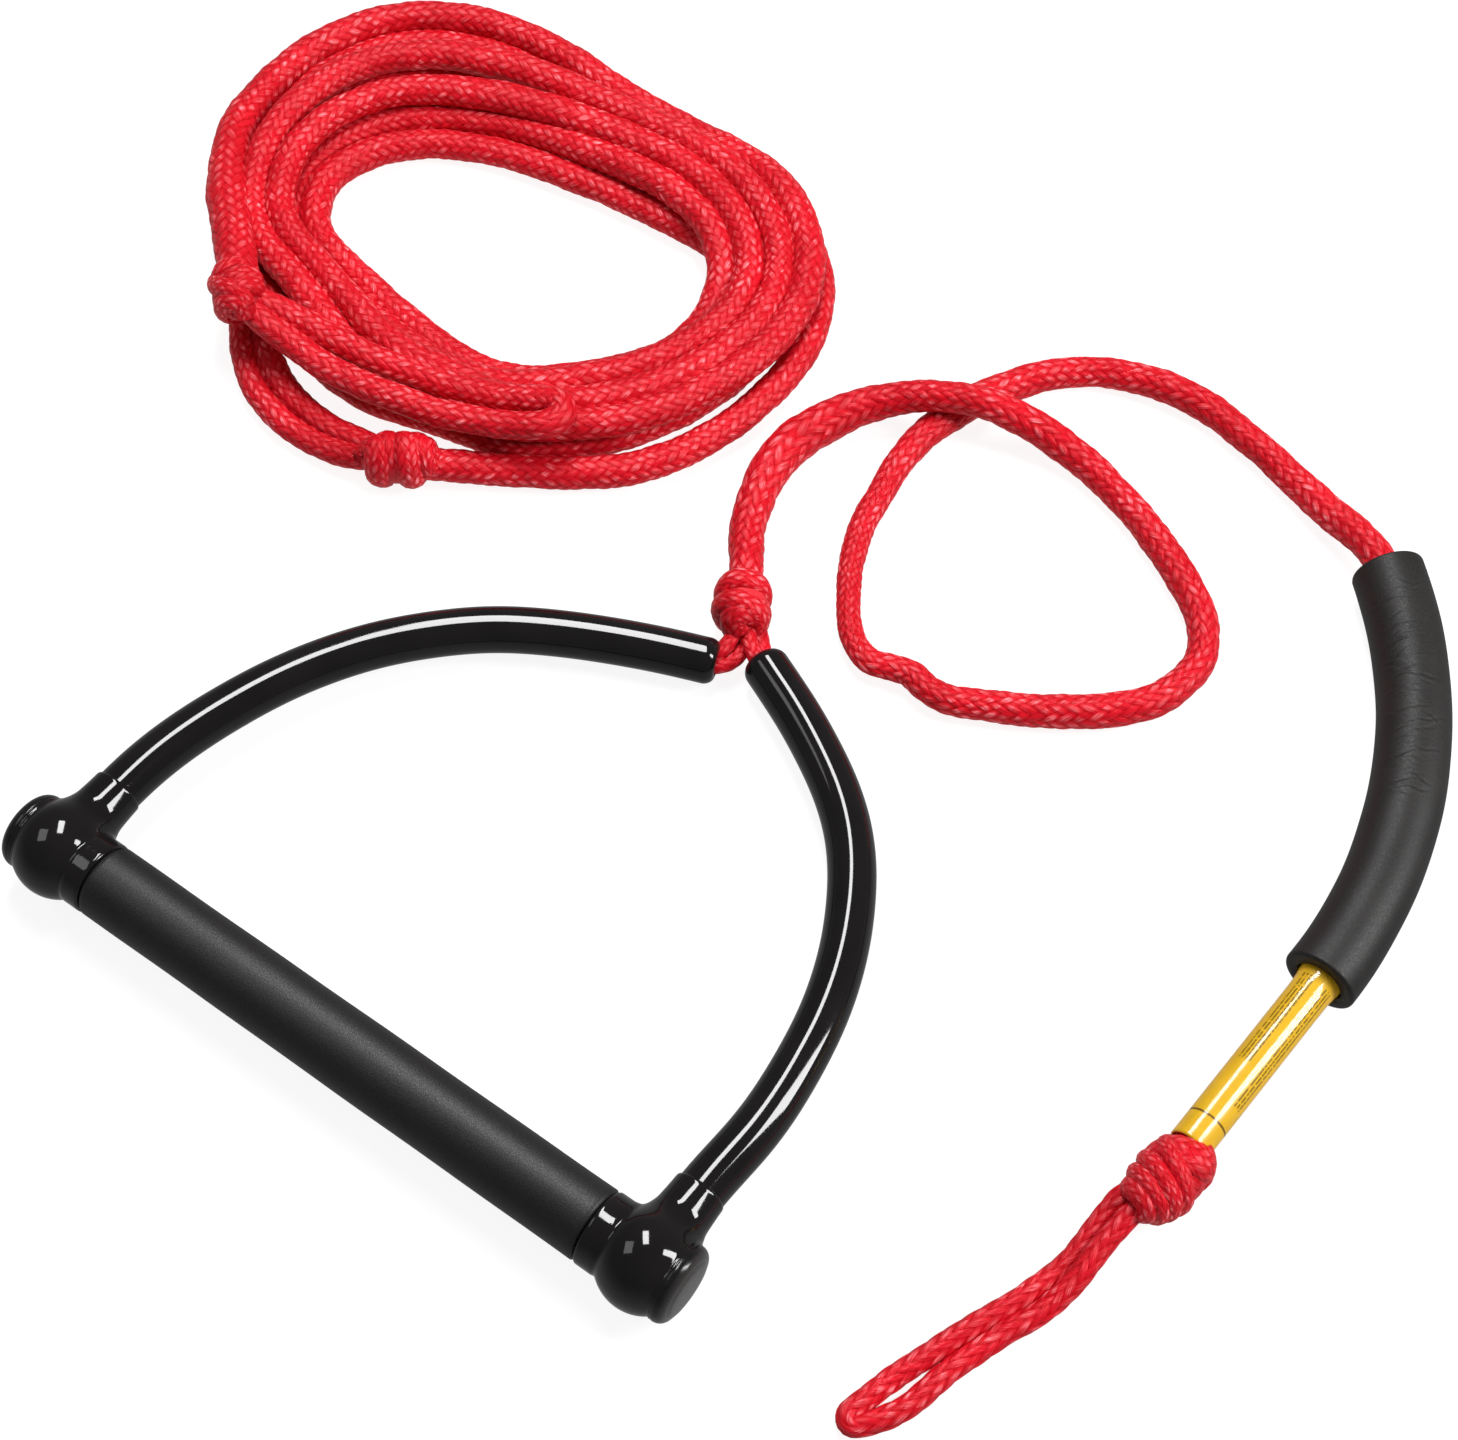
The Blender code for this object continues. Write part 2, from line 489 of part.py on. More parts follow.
# Eye B lies on the floor outside the bundle and ends under knot A.
EYE_B = [(-150.0, 213.0, 11.5), (-169.0, 198.5, 7.6), (-183.0, 194.8, 5.6), (-201.0, 195.0, 5.4),
         (-222.0, 200.5, 5.4), (-242.0, 211.0, 5.4), (-257.0, 224.0, 5.4), (-264.5, 236.0, 5.4),
         (-261.5, 241.5, 5.4), (-254.5, 238.0, 5.4), (-247.0, 228.5, 5.4), (-235.0, 219.0, 5.4),
         (-219.0, 211.0, 5.4), (-200.0, 206.0, 5.4), (-183.0, 206.0, 5.6), (-169.0, 209.5, 7.6),
         (-150.0, 213.0, 11.5)]
eye = smooth(EYE_B, 0.4)
eye = clear_of(eye, COIL_B_C, COIL_B_U, COIL_B_AXES, 0.6, False)
eye = clear_of(eye, COIL_B_C, COIL_B_U, COIL_B_AXES, 0.6, True)
add("coil_eye_b", rope(resample(eye, 8.0), 5.0, 2), RED, 0.5)
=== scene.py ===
import math

import bmesh
import bpy
import numpy as np
from mathutils import Matrix, Vector


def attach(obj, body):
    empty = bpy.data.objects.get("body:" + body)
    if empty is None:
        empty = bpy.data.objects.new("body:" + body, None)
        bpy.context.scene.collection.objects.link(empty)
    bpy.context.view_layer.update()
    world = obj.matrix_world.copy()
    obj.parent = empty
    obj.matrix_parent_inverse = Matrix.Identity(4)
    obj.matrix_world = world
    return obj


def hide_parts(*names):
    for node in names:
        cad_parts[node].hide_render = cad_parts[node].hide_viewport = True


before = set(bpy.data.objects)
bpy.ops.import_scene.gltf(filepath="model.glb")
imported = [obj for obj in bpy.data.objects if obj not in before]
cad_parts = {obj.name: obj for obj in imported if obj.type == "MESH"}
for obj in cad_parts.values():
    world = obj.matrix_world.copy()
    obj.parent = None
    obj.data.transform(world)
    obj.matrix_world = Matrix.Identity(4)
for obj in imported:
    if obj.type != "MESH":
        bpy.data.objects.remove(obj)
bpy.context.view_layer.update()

# The routes below are the ones the model was designed with: millimetres about
# the bar (its axis is y = 0, the floor is z = 0). row() gives row-frame metres.
MID_Y = 116.5
BAR_Z = 18.5


def row(p):
    p = np.asarray(p, float)
    out = p.copy()
    out[..., 1] -= MID_Y
    return out * 0.001


# ------------------------------------------------------------------ camera
def camera():
    azim, elev, dist = math.radians(35.971), math.radians(59.5), 1.090
    back = Vector((math.sin(azim) * math.cos(elev), -math.cos(azim) * math.cos(elev),
                   math.sin(elev)))
    target = Vector(row((25.383, 198.162, 0.0)))
    cam_data = bpy.data.cameras.new("camera")
    cam_data.sensor_fit = "HORIZONTAL"
    cam_data.sensor_width = 36.0
    cam_data.lens = 69.761
    cam_data.clip_start, cam_data.clip_end = 0.02, 100.0
    cam = bpy.data.objects.new("camera", cam_data)
    cam.location = target + back * dist
    cam.rotation_euler = back.to_track_quat("Z", "Y").to_euler()
    bpy.context.scene.collection.objects.link(cam)
    bpy.context.scene.camera = cam
    return cam


camera()


# ------------------------------------------------------------------ curves
def resample(dense, step=None, count=None):
    dense = np.asarray(dense, float)
    s = np.concatenate([[0.0], np.cumsum(np.linalg.norm(np.diff(dense, axis=0), axis=1))])
    n = count or max(3, int(round(s[-1] / step)) + 1)
    t = np.linspace(0.0, s[-1], n)
    return np.stack([np.interp(t, s, dense[:, k]) for k in range(dense.shape[1])], 1)


def smooth(points, step=0.5):
    """Centripetal Catmull-Rom through given points, as the solids were routed."""
    pts = np.asarray(points, float)
    pts = np.vstack([2 * pts[0] - pts[1], pts, 2 * pts[-1] - pts[-2]])
    out = []
    for a, b, c, d in zip(pts, pts[1:], pts[2:], pts[3:]):
        t0 = 0.0
        t1 = t0 + math.sqrt(np.linalg.norm(b - a))
        t2 = t1 + math.sqrt(np.linalg.norm(c - b))
        t3 = t2 + math.sqrt(np.linalg.norm(d - c))
        n = max(4, int(np.linalg.norm(c - b) / 0.8))
        t = (t1 + (t2 - t1) * np.arange(n) / n)[:, None]
        a1 = a * ((t1 - t) / (t1 - t0)) + b * ((t - t0) / (t1 - t0))
        a2 = b * ((t2 - t) / (t2 - t1)) + c * ((t - t1) / (t2 - t1))
        a3 = c * ((t3 - t) / (t3 - t2)) + d * ((t - t2) / (t3 - t2))
        b1 = a1 * ((t2 - t) / (t2 - t0)) + a2 * ((t - t0) / (t2 - t0))
        b2 = a2 * ((t3 - t) / (t3 - t1)) + a3 * ((t - t1) / (t3 - t1))
        out.append(b1 * ((t2 - t) / (t2 - t1)) + b2 * ((t - t1) / (t2 - t1)))
    out.append(pts[-2][None])
    return resample(np.vstack(out), step)


def soften(path, width, keep_ends=True):
    """Gaussian smoothing along a path; width is in points."""
    path = np.asarray(path, float)
    r = int(width * 3)
    k = np.exp(-0.5 * (np.arange(-r, r + 1) / width) ** 2)
    k /= k.sum()
    head = 2 * path[0] - path[r:0:-1]
    tail = 2 * path[-1] - path[-2:-r - 2:-1]
    full = np.vstack([head, path, tail])
    out = np.stack([np.convolve(full[:, i], k, "valid") for i in range(path.shape[1])], 1)
    if keep_ends:
        out[0], out[-1] = path[0], path[-1]
    return out


def tangents(path):
    t = np.gradient(path, axis=0)
    return t / np.maximum(np.linalg.norm(t, axis=1, keepdims=True), 1e-12)


def level_frame(path):
    """Side and up for a path that stays near level: up leans as little as it can."""
    t = tangents(path)
    side = np.cross(t, [0.0, 0.0, 1.0])
    side /= np.maximum(np.linalg.norm(side, axis=1, keepdims=True), 1e-9)
    return side, np.cross(side, t)


def free_frame(path, start=(0.0, 0.0, 1.0)):
    """Side and up that turn as little as possible along any path."""
    t = tangents(path)
    up = np.array(start, float)
    ups = []
    for v in t:
        up = up - v * up.dot(v)
        up /= max(np.linalg.norm(up), 1e-9)
        ups.append(up)
    ups = np.array(ups)
    return np.cross(t, ups), ups


# ------------------------------------------------------------------ meshes
def make_object(name, verts, faces, body, uv=None, attrs=None, smooth_shading=True):
    mesh = bpy.data.meshes.new(name)
    verts = np.asarray(verts, np.float32)
    faces = [f for f in faces]
    counts = np.array([f.shape[1] for f in faces for _ in range(len(f))], np.int32)
    loops = np.concatenate([f.reshape(-1) for f in faces]).astype(np.int32)
    mesh.vertices.add(len(verts))
    mesh.vertices.foreach_set("co", verts.reshape(-1))
    mesh.loops.add(len(loops))
    mesh.loops.foreach_set("vertex_index", loops)
    mesh.polygons.add(len(counts))
    starts = np.concatenate([[0], np.cumsum(counts)[:-1]]).astype(np.int32)
    mesh.polygons.foreach_set("loop_start", starts)
    mesh.polygons.foreach_set("loop_total", counts)
    mesh.update(calc_edges=True)
    mesh.polygons.foreach_set("use_smooth", np.full(len(counts), smooth_shading))
    if uv is not None:
        layer = mesh.uv_layers.new(name="weave")
        layer.data.foreach_set("uv", np.asarray(uv, np.float32).reshape(-1))
    for key, values in (attrs or {}).items():
        a = mesh.attributes.new(key, "FLOAT", "POINT")
        a.data.foreach_set("value", np.asarray(values, np.float32))
    mesh.validate()
    obj = bpy.data.objects.new(name, mesh)
    bpy.context.scene.collection.objects.link(obj)
    if body is not None:
        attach(obj, body)
    return obj


def grid_faces(rows, cols, wrap=True):
    i = np.arange(rows - 1)[:, None]
    j = np.arange(cols if wrap else cols - 1)[None, :]
    a = i * cols + j
    b = i * cols + (j + 1) % cols
    return np.stack([a, b, b + cols, a + cols], -1).reshape(-1, 4)


def tube(name, path, radius, body, sides=48, up="level", bore=None, uv_scale=1.0, push=None,
         flat=None):
    """A swept tube in bar millimetres. radius, bore: number or one per point.
    push(s, theta) moves the outer surface out by that many millimetres."""
    path = np.asarray(path, float)
    n = len(path)
    side, ups = level_frame(path) if up == "level" else free_frame(path)
    s = np.concatenate([[0.0], np.cumsum(np.linalg.norm(np.diff(path, axis=0), axis=1))])
    th = np.arange(sides) * math.tau / sides

    def ring(rad, pushes=None):
        rad = np.broadcast_to(np.asarray(rad, float), (n,))[:, None]
        if pushes is not None:
            rad = rad + pushes
        w, h = flat if flat is not None else (1.0, 1.0)
        w = np.broadcast_to(np.asarray(w, float), (n,))[:, None, None]
        h = np.broadcast_to(np.asarray(h, float), (n,))[:, None, None]
        c, q = np.cos(th)[None, :, None], np.sin(th)[None, :, None]
        return path[:, None, :] + rad[:, :, None] * (side[:, None, :] * c * w + ups[:, None, :] * q * h)

    outer = ring(radius, None if push is None else push(s[:, None], th[None, :]))
    verts = [outer.reshape(-1, 3)]
    faces = [grid_faces(n, sides)]
    j = np.arange(sides)
    if bore is None:
        base = n * sides
        verts.append(path[[0, -1]])
        faces.append(np.stack([np.full(sides, base), (j + 1) % sides, j], 1))
        last = (n - 1) * sides
        faces.append(np.stack([np.full(sides, base + 1), last + j, last + (j + 1) % sides], 1))
    else:
        inner = ring(bore)
        off = n * sides
        verts.append(inner.reshape(-1, 3))
        faces.append(grid_faces(n, sides)[:, ::-1] + off)
        faces.append(np.stack([j, off + j, off + (j + 1) % sides, (j + 1) % sides], 1))
        last = (n - 1) * sides
        faces.append(np.stack([last + j, last + (j + 1) % sides, off + last + (j + 1) % sides,
                               off + last + j], 1))
    verts = np.vstack(verts)
    quads = [f for f in faces if f.shape[1] == 4]
    tris = [f for f in faces if f.shape[1] == 3]
    # side x up gives -tangent, so the winding is turned to face outward
    flipped = [f[:, ::-1] for f in quads + tris]
    uv = None
    if uv_scale is not None:
        uu = []
        for f in flipped:
            f = f.reshape(-1)
            ring_i = np.minimum(f // sides, 2 * n)
            uu.append(np.stack([(f % sides) / sides, (s[np.minimum(ring_i % n, n - 1)]) * uv_scale
                                * 0.01], 1))
        uv = np.vstack(uu)
        # the seam column runs on to 1
        k = 0
        for f in flipped:
            m = f.shape[1]
            block = uv[k:k + f.size].reshape(-1, m, 2)
            wrapped = (block[:, :, 0].max(1) - block[:, :, 0].min(1)) > 0.5
            block[wrapped, :, 0] = np.where(block[wrapped, :, 0] < 0.5, block[wrapped, :, 0] + 1,
                                            block[wrapped, :, 0])
            uv[k:k + f.size] = block.reshape(-1, 2)
            k += f.size
    return make_object(name, row(verts), flipped, body, uv=uv)


def lathe_points(profile, sides, steps):
    """Smooth profile of (x, r) spun about the bar's axis."""
    prof = np.asarray(profile, float)
    th = np.arange(sides) * math.tau / sides
    ring = np.stack([np.repeat(prof[:, 0:1], sides, 1), prof[:, 1:2] * np.cos(th)[None],
                     BAR_Z + prof[:, 1:2] * np.sin(th)[None]], -1)
    return ring


# ------------------------------------------------------------------ braid
LIFT, CROWN = 0.50, 0.80


def weave_height(a, b):
    """A two-over, two-under braid: height of the upper strand at weave place (a, b)."""
    ia, ib = np.floor(a), np.floor(b)
    fa, fb = a - ia - 0.5, b - ib - 0.5
    ha = LIFT * np.sin(0.5 * math.pi * (b + ia)) + CROWN * np.sqrt(np.maximum(1 - (1.85 * fa) ** 2, 0))
    hb = -LIFT * np.sin(0.5 * math.pi * (a + ib)) + CROWN * np.sqrt(np.maximum(1 - (1.85 * fb) ** 2, 0))
    return np.maximum(ha, hb)


def braid(name, path, radius, body, around=48, step=1.15, up="level", wide=1.0, high=1.0,
          amp=1.0, lay=72.0, strands=12, phase=0.0, caps=True):
    """A braided rope: the tube's surface is the strands themselves, over and under.
    path in bar millimetres; radius, wide, high are numbers or functions of length;
    up is a framing, or one outward direction for each point of the path."""
    path = np.asarray(path, float)
    if isinstance(up, np.ndarray):
        both = resample(np.hstack([path, up]), step)
        path, ups = both[:, :3], both[:, 3:]
        t = tangents(path)
        ups = ups - t * (ups * t).sum(1, keepdims=True)
        ups /= np.maximum(np.linalg.norm(ups, axis=1, keepdims=True), 1e-9)
        side = np.cross(t, ups)
    else:
        path = resample(path, step)
        side, ups = level_frame(path) if up == "level" else free_frame(path)
    n = len(path)
    s = np.concatenate([[0.0], np.cumsum(np.linalg.norm(np.diff(path, axis=0), axis=1))])

    def along(v):
        return np.asarray(v(s) if callable(v) else np.full(n, float(v)), float)

    rad, w, h = along(radius)[:, None], along(wide)[:, None], along(high)[:, None]
    th = (np.arange(around) * math.tau / around)[None, :]
    u = th / math.tau
    # the braid turns a little along its length, and lies longer where it is thin
    turn = np.cumsum(np.concatenate([[0.0], np.diff(s)]) * (rad[0, 0] / rad[:, 0]) ** 0.8) / lay
    turn = (turn + 0.02 * np.sin(s * 0.05 + phase) + phase)[:, None]
    roll = (0.10 * np.sin(s * 0.013 + 3 * phase) + 0.04 * np.sin(s * 0.041))[:, None]
    a = strands * (u + roll + turn)
    b = strands * (u + roll - turn)
    hgt = weave_height(a, b)
    # slow unevenness, as a soft rope has
    lump = (0.22 * np.sin(s * 0.19 + 5 * phase)[:, None] * np.sin(th + s[:, None] * 0.05)
            + 0.16 * np.sin(s * 0.43)[:, None] * np.sin(2 * th + s[:, None] * 0.11))
    r = rad + amp * (hgt - 0.75 * CROWN) + lump * (rad / 6.3)
    co, si = np.cos(th)[..., None], np.sin(th)[..., None]
    pts = (path[:, None, :] + r[..., None] * (side[:, None, :] * co * w[..., None]
                                              + ups[:, None, :] * si * h[..., None]))
    verts = [pts.reshape(-1, 3)]
    quads = grid_faces(n, around)
    i = quads // around
    j = quads % around
    uu = (j / around).astype(float)
    wrapped = (uu.max(1) - uu.min(1)) > 0.5
    uu[wrapped] = np.where(uu[wrapped] < 0.5, uu[wrapped] + 1.0, uu[wrapped])
    tt, rr = turn[:, 0][i], roll[:, 0][i]
    uv = np.stack([strands * (uu + rr + tt), strands * (uu + rr - tt)], -1)
    faces = [quads[:, ::-1]]
    uvs = [uv[:, ::-1].reshape(-1, 2)]
    if caps:
        base = n * around
        verts.append(path[[0, -1]])
        jj = np.arange(around)
        f0 = np.stack([np.full(around, base), (jj + 1) % around, jj], 1)[:, ::-1]
        last = (n - 1) * around
        f1 = np.stack([np.full(around, base + 1), last + jj, last + (jj + 1) % around], 1)[:, ::-1]
        faces += [f0, f1]
        uvs += [np.zeros((f0.size, 2)), np.zeros((f1.size, 2))]
    obj = make_object(name, row(np.vstack(verts)), faces, body, uv=np.vstack(uvs))
    obj.data.materials.append(ROPE)
    return obj, path


# ------------------------------------------------------------------ materials
def node_material(name):
    mat = bpy.data.materials.new(name)
    mat.use_nodes = True
    nt = mat.node_tree
    return mat, nt, nt.nodes["Principled BSDF"]


def link(nt, a, ao, b, bi):
    nt.links.new(a.outputs[ao], b.inputs[bi])


def math_node(nt, op, a=None, b=None, va=0.0, vb=0.0, clamp=False):
    m = nt.nodes.new("ShaderNodeMath")
    m.operation = op
    m.use_clamp = clamp
    m.inputs[0].default_value = va
    m.inputs[1].default_value = vb
    if a is not None:
        nt.links.new(a, m.inputs[0])
    if b is not None:
        nt.links.new(b, m.inputs[1])
    return m.outputs[0]


def ramp_node(nt, fac, stops, interp="LINEAR"):
    r = nt.nodes.new("ShaderNodeValToRGB")
    r.color_ramp.interpolation = interp
    el = r.color_ramp.elements
    while len(el) > len(stops):
        el.remove(el[-1])
    while len(el) < len(stops):
        el.new(0.5)
    for e, (pos, col) in zip(el, stops):
        e.position = pos
        e.color = (*col, 1.0)
    nt.links.new(fac, r.inputs[0])
    return r.outputs[0]


def rope_material():
    """Polypropylene hollow braid: each strand is a bundle of bright filaments; the colour also carries
    painted shade in the valleys, painted glints on the crowns and painted highlight streaks along the
    filaments.
    """
    mat, nt, bsdf = node_material("red_braid")
    uvn = nt.nodes.new("ShaderNodeUVMap")
    uvn.uv_map = "weave"
    sep = nt.nodes.new("ShaderNodeSeparateXYZ")
    nt.links.new(uvn.outputs[0], sep.inputs[0])
    a, b = sep.outputs[0], sep.outputs[1]
    ia, ib = math_node(nt, "FLOOR", a), math_node(nt, "FLOOR", b)
    fa = math_node(nt, "SUBTRACT", math_node(nt, "SUBTRACT", a, ia), vb=0.5)
    fb = math_node(nt, "SUBTRACT", math_node(nt, "SUBTRACT", b, ib), vb=0.5)
    za = math_node(nt, "MULTIPLY", math_node(nt, "SINE", math_node(
        nt, "MULTIPLY", math_node(nt, "ADD", b, ia), vb=0.5 * math.pi)), vb=LIFT)
    zb = math_node(nt, "MULTIPLY", math_node(nt, "SINE", math_node(
        nt, "MULTIPLY", math_node(nt, "ADD", a, ib), vb=0.5 * math.pi)), vb=-LIFT)

    def crown(f):
        sq = math_node(nt, "MULTIPLY", math_node(nt, "MULTIPLY", f, f), vb=1.85 ** 2)
        inv = math_node(nt, "MAXIMUM", math_node(nt, "SUBTRACT", None, sq, va=1.0), vb=0.0)
        return math_node(nt, "MULTIPLY", math_node(nt, "SQRT", inv), vb=CROWN)

    ha = math_node(nt, "ADD", za, crown(fa))
    hb = math_node(nt, "ADD", zb, crown(fb))
    over = math_node(nt, "GREATER_THAN", ha, hb)
    hgt = math_node(nt, "MAXIMUM", ha, hb)
    # filaments run along the strand on top: lines across its width
    mixf = nt.nodes.new("ShaderNodeMix")
    nt.links.new(over, mixf.inputs[0])
    nt.links.new(fb, mixf.inputs[2])
    nt.links.new(fa, mixf.inputs[3])
    across = mixf.outputs[0]
    mixl = nt.nodes.new("ShaderNodeMix")
    nt.links.new(over, mixl.inputs[0])
    nt.links.new(a, mixl.inputs[2])
    nt.links.new(b, mixl.inputs[3])
    length = mixl.outputs[0]
    mixi = nt.nodes.new("ShaderNodeMix")
    nt.links.new(over, mixi.inputs[0])
    nt.links.new(ib, mixi.inputs[2])
    nt.links.new(ia, mixi.inputs[3])
    comb = nt.nodes.new("ShaderNodeCombineXYZ")
    nt.links.new(math_node(nt, "MULTIPLY", across, vb=7.0), comb.inputs[0])
    nt.links.new(math_node(nt, "MULTIPLY", length, vb=0.55), comb.inputs[1])
    nt.links.new(math_node(nt, "MULTIPLY", mixi.outputs[0], vb=5.3), comb.inputs[2])
    fil = nt.nodes.new("ShaderNodeTexNoise")
    fil.inputs["Scale"].default_value = 1.0
    fil.inputs["Detail"].default_value = 2.0
    fil.inputs["Roughness"].default_value = 0.6
    nt.links.new(comb.outputs[0], fil.inputs["Vector"])
    # each float catches the light a little differently: its own roughness, and whether its crown gets a
    # painted glint
    cell = nt.nodes.new("ShaderNodeCombineXYZ")
    nt.links.new(ia, cell.inputs[0])
    nt.links.new(ib, cell.inputs[1])
    nt.links.new(over, cell.inputs[2])
    white = nt.nodes.new("ShaderNodeTexWhiteNoise")
    nt.links.new(cell.outputs[0], white.inputs["Vector"])
    tex = nt.nodes.new("ShaderNodeTexCoord")
    big = nt.nodes.new("ShaderNodeTexNoise")
    big.inputs["Scale"].default_value = 38.0
    big.inputs["Detail"].default_value = 2.0
    nt.links.new(tex.outputs["Object"], big.inputs["Vector"])
    # colour: painted shade darkens the valleys between the strands and the crowns are painted brighter;
    # uneven along the rope
    base = ramp_node(nt, hgt, [(0.0, (0.12, 0.0005, 0.0014)), (0.32, (0.33, 0.0020, 0.0052)),
                               (0.75, (0.57, 0.0052, 0.0125)), (1.0, (0.64, 0.0080, 0.0180))])
    # painted glint: the crowns of some floats are painted pale pink, standing in for the light they
    # catch
    rise = math_node(nt, "MULTIPLY", math_node(nt, "SUBTRACT", hgt, vb=0.98), vb=4.2, clamp=True)
    some = math_node(nt, "MULTIPLY", math_node(nt, "SUBTRACT", white.outputs[0], vb=0.30), vb=1.7,
                     clamp=True)
    painted_glint = math_node(nt, "MULTIPLY", rise, some)
    glint_paint_mix = nt.nodes.new("ShaderNodeMix")
    glint_paint_mix.data_type = "RGBA"
    # the painted glints are streaky within each float, and stronger on some lengths than others
    fine = ramp_node(nt, fil.outputs[0], [(0.34, (0.15,) * 3), (0.60, (1.0,) * 3)])
    lengths = ramp_node(nt, big.outputs[0], [(0.36, (0.28,) * 3), (0.60, (1.0,) * 3)])
    painted_glint = math_node(nt, "MULTIPLY", math_node(nt, "MULTIPLY", painted_glint, fine), lengths)
    nt.links.new(math_node(nt, "MULTIPLY", painted_glint, vb=0.95), glint_paint_mix.inputs[0])
    nt.links.new(base, glint_paint_mix.inputs[6])
    glint_paint_mix.inputs[7].default_value = (0.95, 0.190, 0.215, 1.0)
    base = glint_paint_mix.outputs[2]
    # painted highlight: the filament noise paints paler pink streaks along the strands and darker lines
    # between them
    filament_highlight_paint = ramp_node(nt, fil.outputs[0], [(0.30, (0.72, 0.60, 0.60)), (0.55, (1.0, 1.0, 1.0)),
                                            (0.75, (1.18, 2.2, 2.1))])
    mul = nt.nodes.new("ShaderNodeMix")
    mul.data_type = "RGBA"
    mul.blend_type = "MULTIPLY"
    mul.inputs[0].default_value = 1.0
    nt.links.new(base, mul.inputs[6])
    nt.links.new(filament_highlight_paint, mul.inputs[7])
    patch = ramp_node(nt, big.outputs[0], [(0.3, (0.84, 0.80, 0.80)), (0.7, (1.06, 1.1, 1.1))])
    mul2 = nt.nodes.new("ShaderNodeMix")
    mul2.data_type = "RGBA"
    mul2.blend_type = "MULTIPLY"
    mul2.inputs[0].default_value = 1.0
    nt.links.new(mul.outputs[2], mul2.inputs[6])
    nt.links.new(patch, mul2.inputs[7])
    nt.links.new(mul2.outputs[2], bsdf.inputs["Base Color"])
    rough = ramp_node(nt, white.outputs[0], [(0.1, (0.27,) * 3), (0.9, (0.46,) * 3)])
    nt.links.new(rough, bsdf.inputs["Roughness"])
    bump = nt.nodes.new("ShaderNodeBump")
    bump.inputs["Strength"].default_value = 0.45
    bump.inputs["Distance"].default_value = 0.0005
    nt.links.new(fil.outputs[0], bump.inputs["Height"])
    bump2 = nt.nodes.new("ShaderNodeBump")
    bump2.inputs["Strength"].default_value = 0.40
    bump2.inputs["Distance"].default_value = 0.0006
    nt.links.new(hgt, bump2.inputs["Height"])
    nt.links.new(bump.outputs[0], bump2.inputs["Normal"])
    nt.links.new(bump2.outputs[0], bsdf.inputs["Normal"])
    nt.links.new(ramp_node(nt, hgt, [(0.35, (0.04,) * 3), (1.0, (0.42,) * 3)]),
                 bsdf.inputs["Specular IOR Level"])
    bsdf.inputs["Specular Tint"].default_value = (1.0, 0.30, 0.33, 1.0)
    return mat


def vinyl_material():
    """Dipped gloss vinyl: deep black, a mirror coat with a slow ripple."""
    mat, nt, bsdf = node_material("gloss_vinyl")
    tex = nt.nodes.new("ShaderNodeTexCoord")
    wave = nt.nodes.new("ShaderNodeTexNoise")
    wave.inputs["Scale"].default_value = 46.0
    wave.inputs["Detail"].default_value = 1.0
    nt.links.new(tex.outputs["Object"], wave.inputs["Vector"])
    dust = nt.nodes.new("ShaderNodeTexNoise")
    dust.inputs["Scale"].default_value = 900.0
    dust.inputs["Detail"].default_value = 2.0
    nt.links.new(tex.outputs["Object"], dust.inputs["Vector"])
    col = ramp_node(nt, wave.outputs[0], [(0.3, (0.0060, 0.0052, 0.0056)),
                                          (0.7, (0.0085, 0.0074, 0.0078))])
    nt.links.new(col, bsdf.inputs["Base Color"])
    rough = ramp_node(nt, dust.outputs[0], [(0.35, (0.05,) * 3), (0.75, (0.10,) * 3)])
    nt.links.new(rough, bsdf.inputs["Roughness"])
    bump = nt.nodes.new("ShaderNodeBump")
    bump.inputs["Strength"].default_value = 0.25
    bump.inputs["Distance"].default_value = 0.0004
    nt.links.new(wave.outputs[0], bump.inputs["Height"])
    nt.links.new(bump.outputs[0], bsdf.inputs["Normal"])
    bsdf.inputs["Specular IOR Level"].default_value = 0.42
    return mat


def foam_material(name, colour, bump_scale, bump_strength, rough_lo, rough_hi, mottle, gloss=0.5):
    """Closed-cell foam: fine open cells on the skin, a faint grey bloom."""
    mat, nt, bsdf = node_material(name)
    tex = nt.nodes.new("ShaderNodeTexCoord")
    cells = nt.nodes.new("ShaderNodeTexNoise")
    cells.inputs["Scale"].default_value = bump_scale
    cells.inputs["Detail"].default_value = 4.0
    cells.inputs["Roughness"].default_value = 0.65
    nt.links.new(tex.outputs["Object"], cells.inputs["Vector"])
    big = nt.nodes.new("ShaderNodeTexNoise")
    big.inputs["Scale"].default_value = 60.0
    big.inputs["Detail"].default_value = 3.0
    nt.links.new(tex.outputs["Object"], big.inputs["Vector"])
    lo = tuple(c * (1 - mottle) for c in colour)
    hi = tuple(c * (1 + mottle) for c in colour)
    base = ramp_node(nt, big.outputs[0], [(0.3, lo), (0.7, hi)])
    grain = ramp_node(nt, cells.outputs[0], [(0.3, (0.82,) * 3), (0.7, (1.12,) * 3)])
    mul = nt.nodes.new("ShaderNodeMix")
    mul.data_type = "RGBA"
    mul.blend_type = "MULTIPLY"
    mul.inputs[0].default_value = 1.0
    nt.links.new(base, mul.inputs[6])
    nt.links.new(grain, mul.inputs[7])
    nt.links.new(mul.outputs[2], bsdf.inputs["Base Color"])
    rough = ramp_node(nt, cells.outputs[0], [(0.3, (rough_lo,) * 3), (0.7, (rough_hi,) * 3)])
    nt.links.new(rough, bsdf.inputs["Roughness"])
    bump = nt.nodes.new("ShaderNodeBump")
    bump.inputs["Strength"].default_value = bump_strength
    bump.inputs["Distance"].default_value = 0.0003
    nt.links.new(cells.outputs[0], bump.inputs["Height"])
    nt.links.new(bump.outputs[0], bsdf.inputs["Normal"])
    bsdf.inputs["Specular IOR Level"].default_value = gloss
    return mat


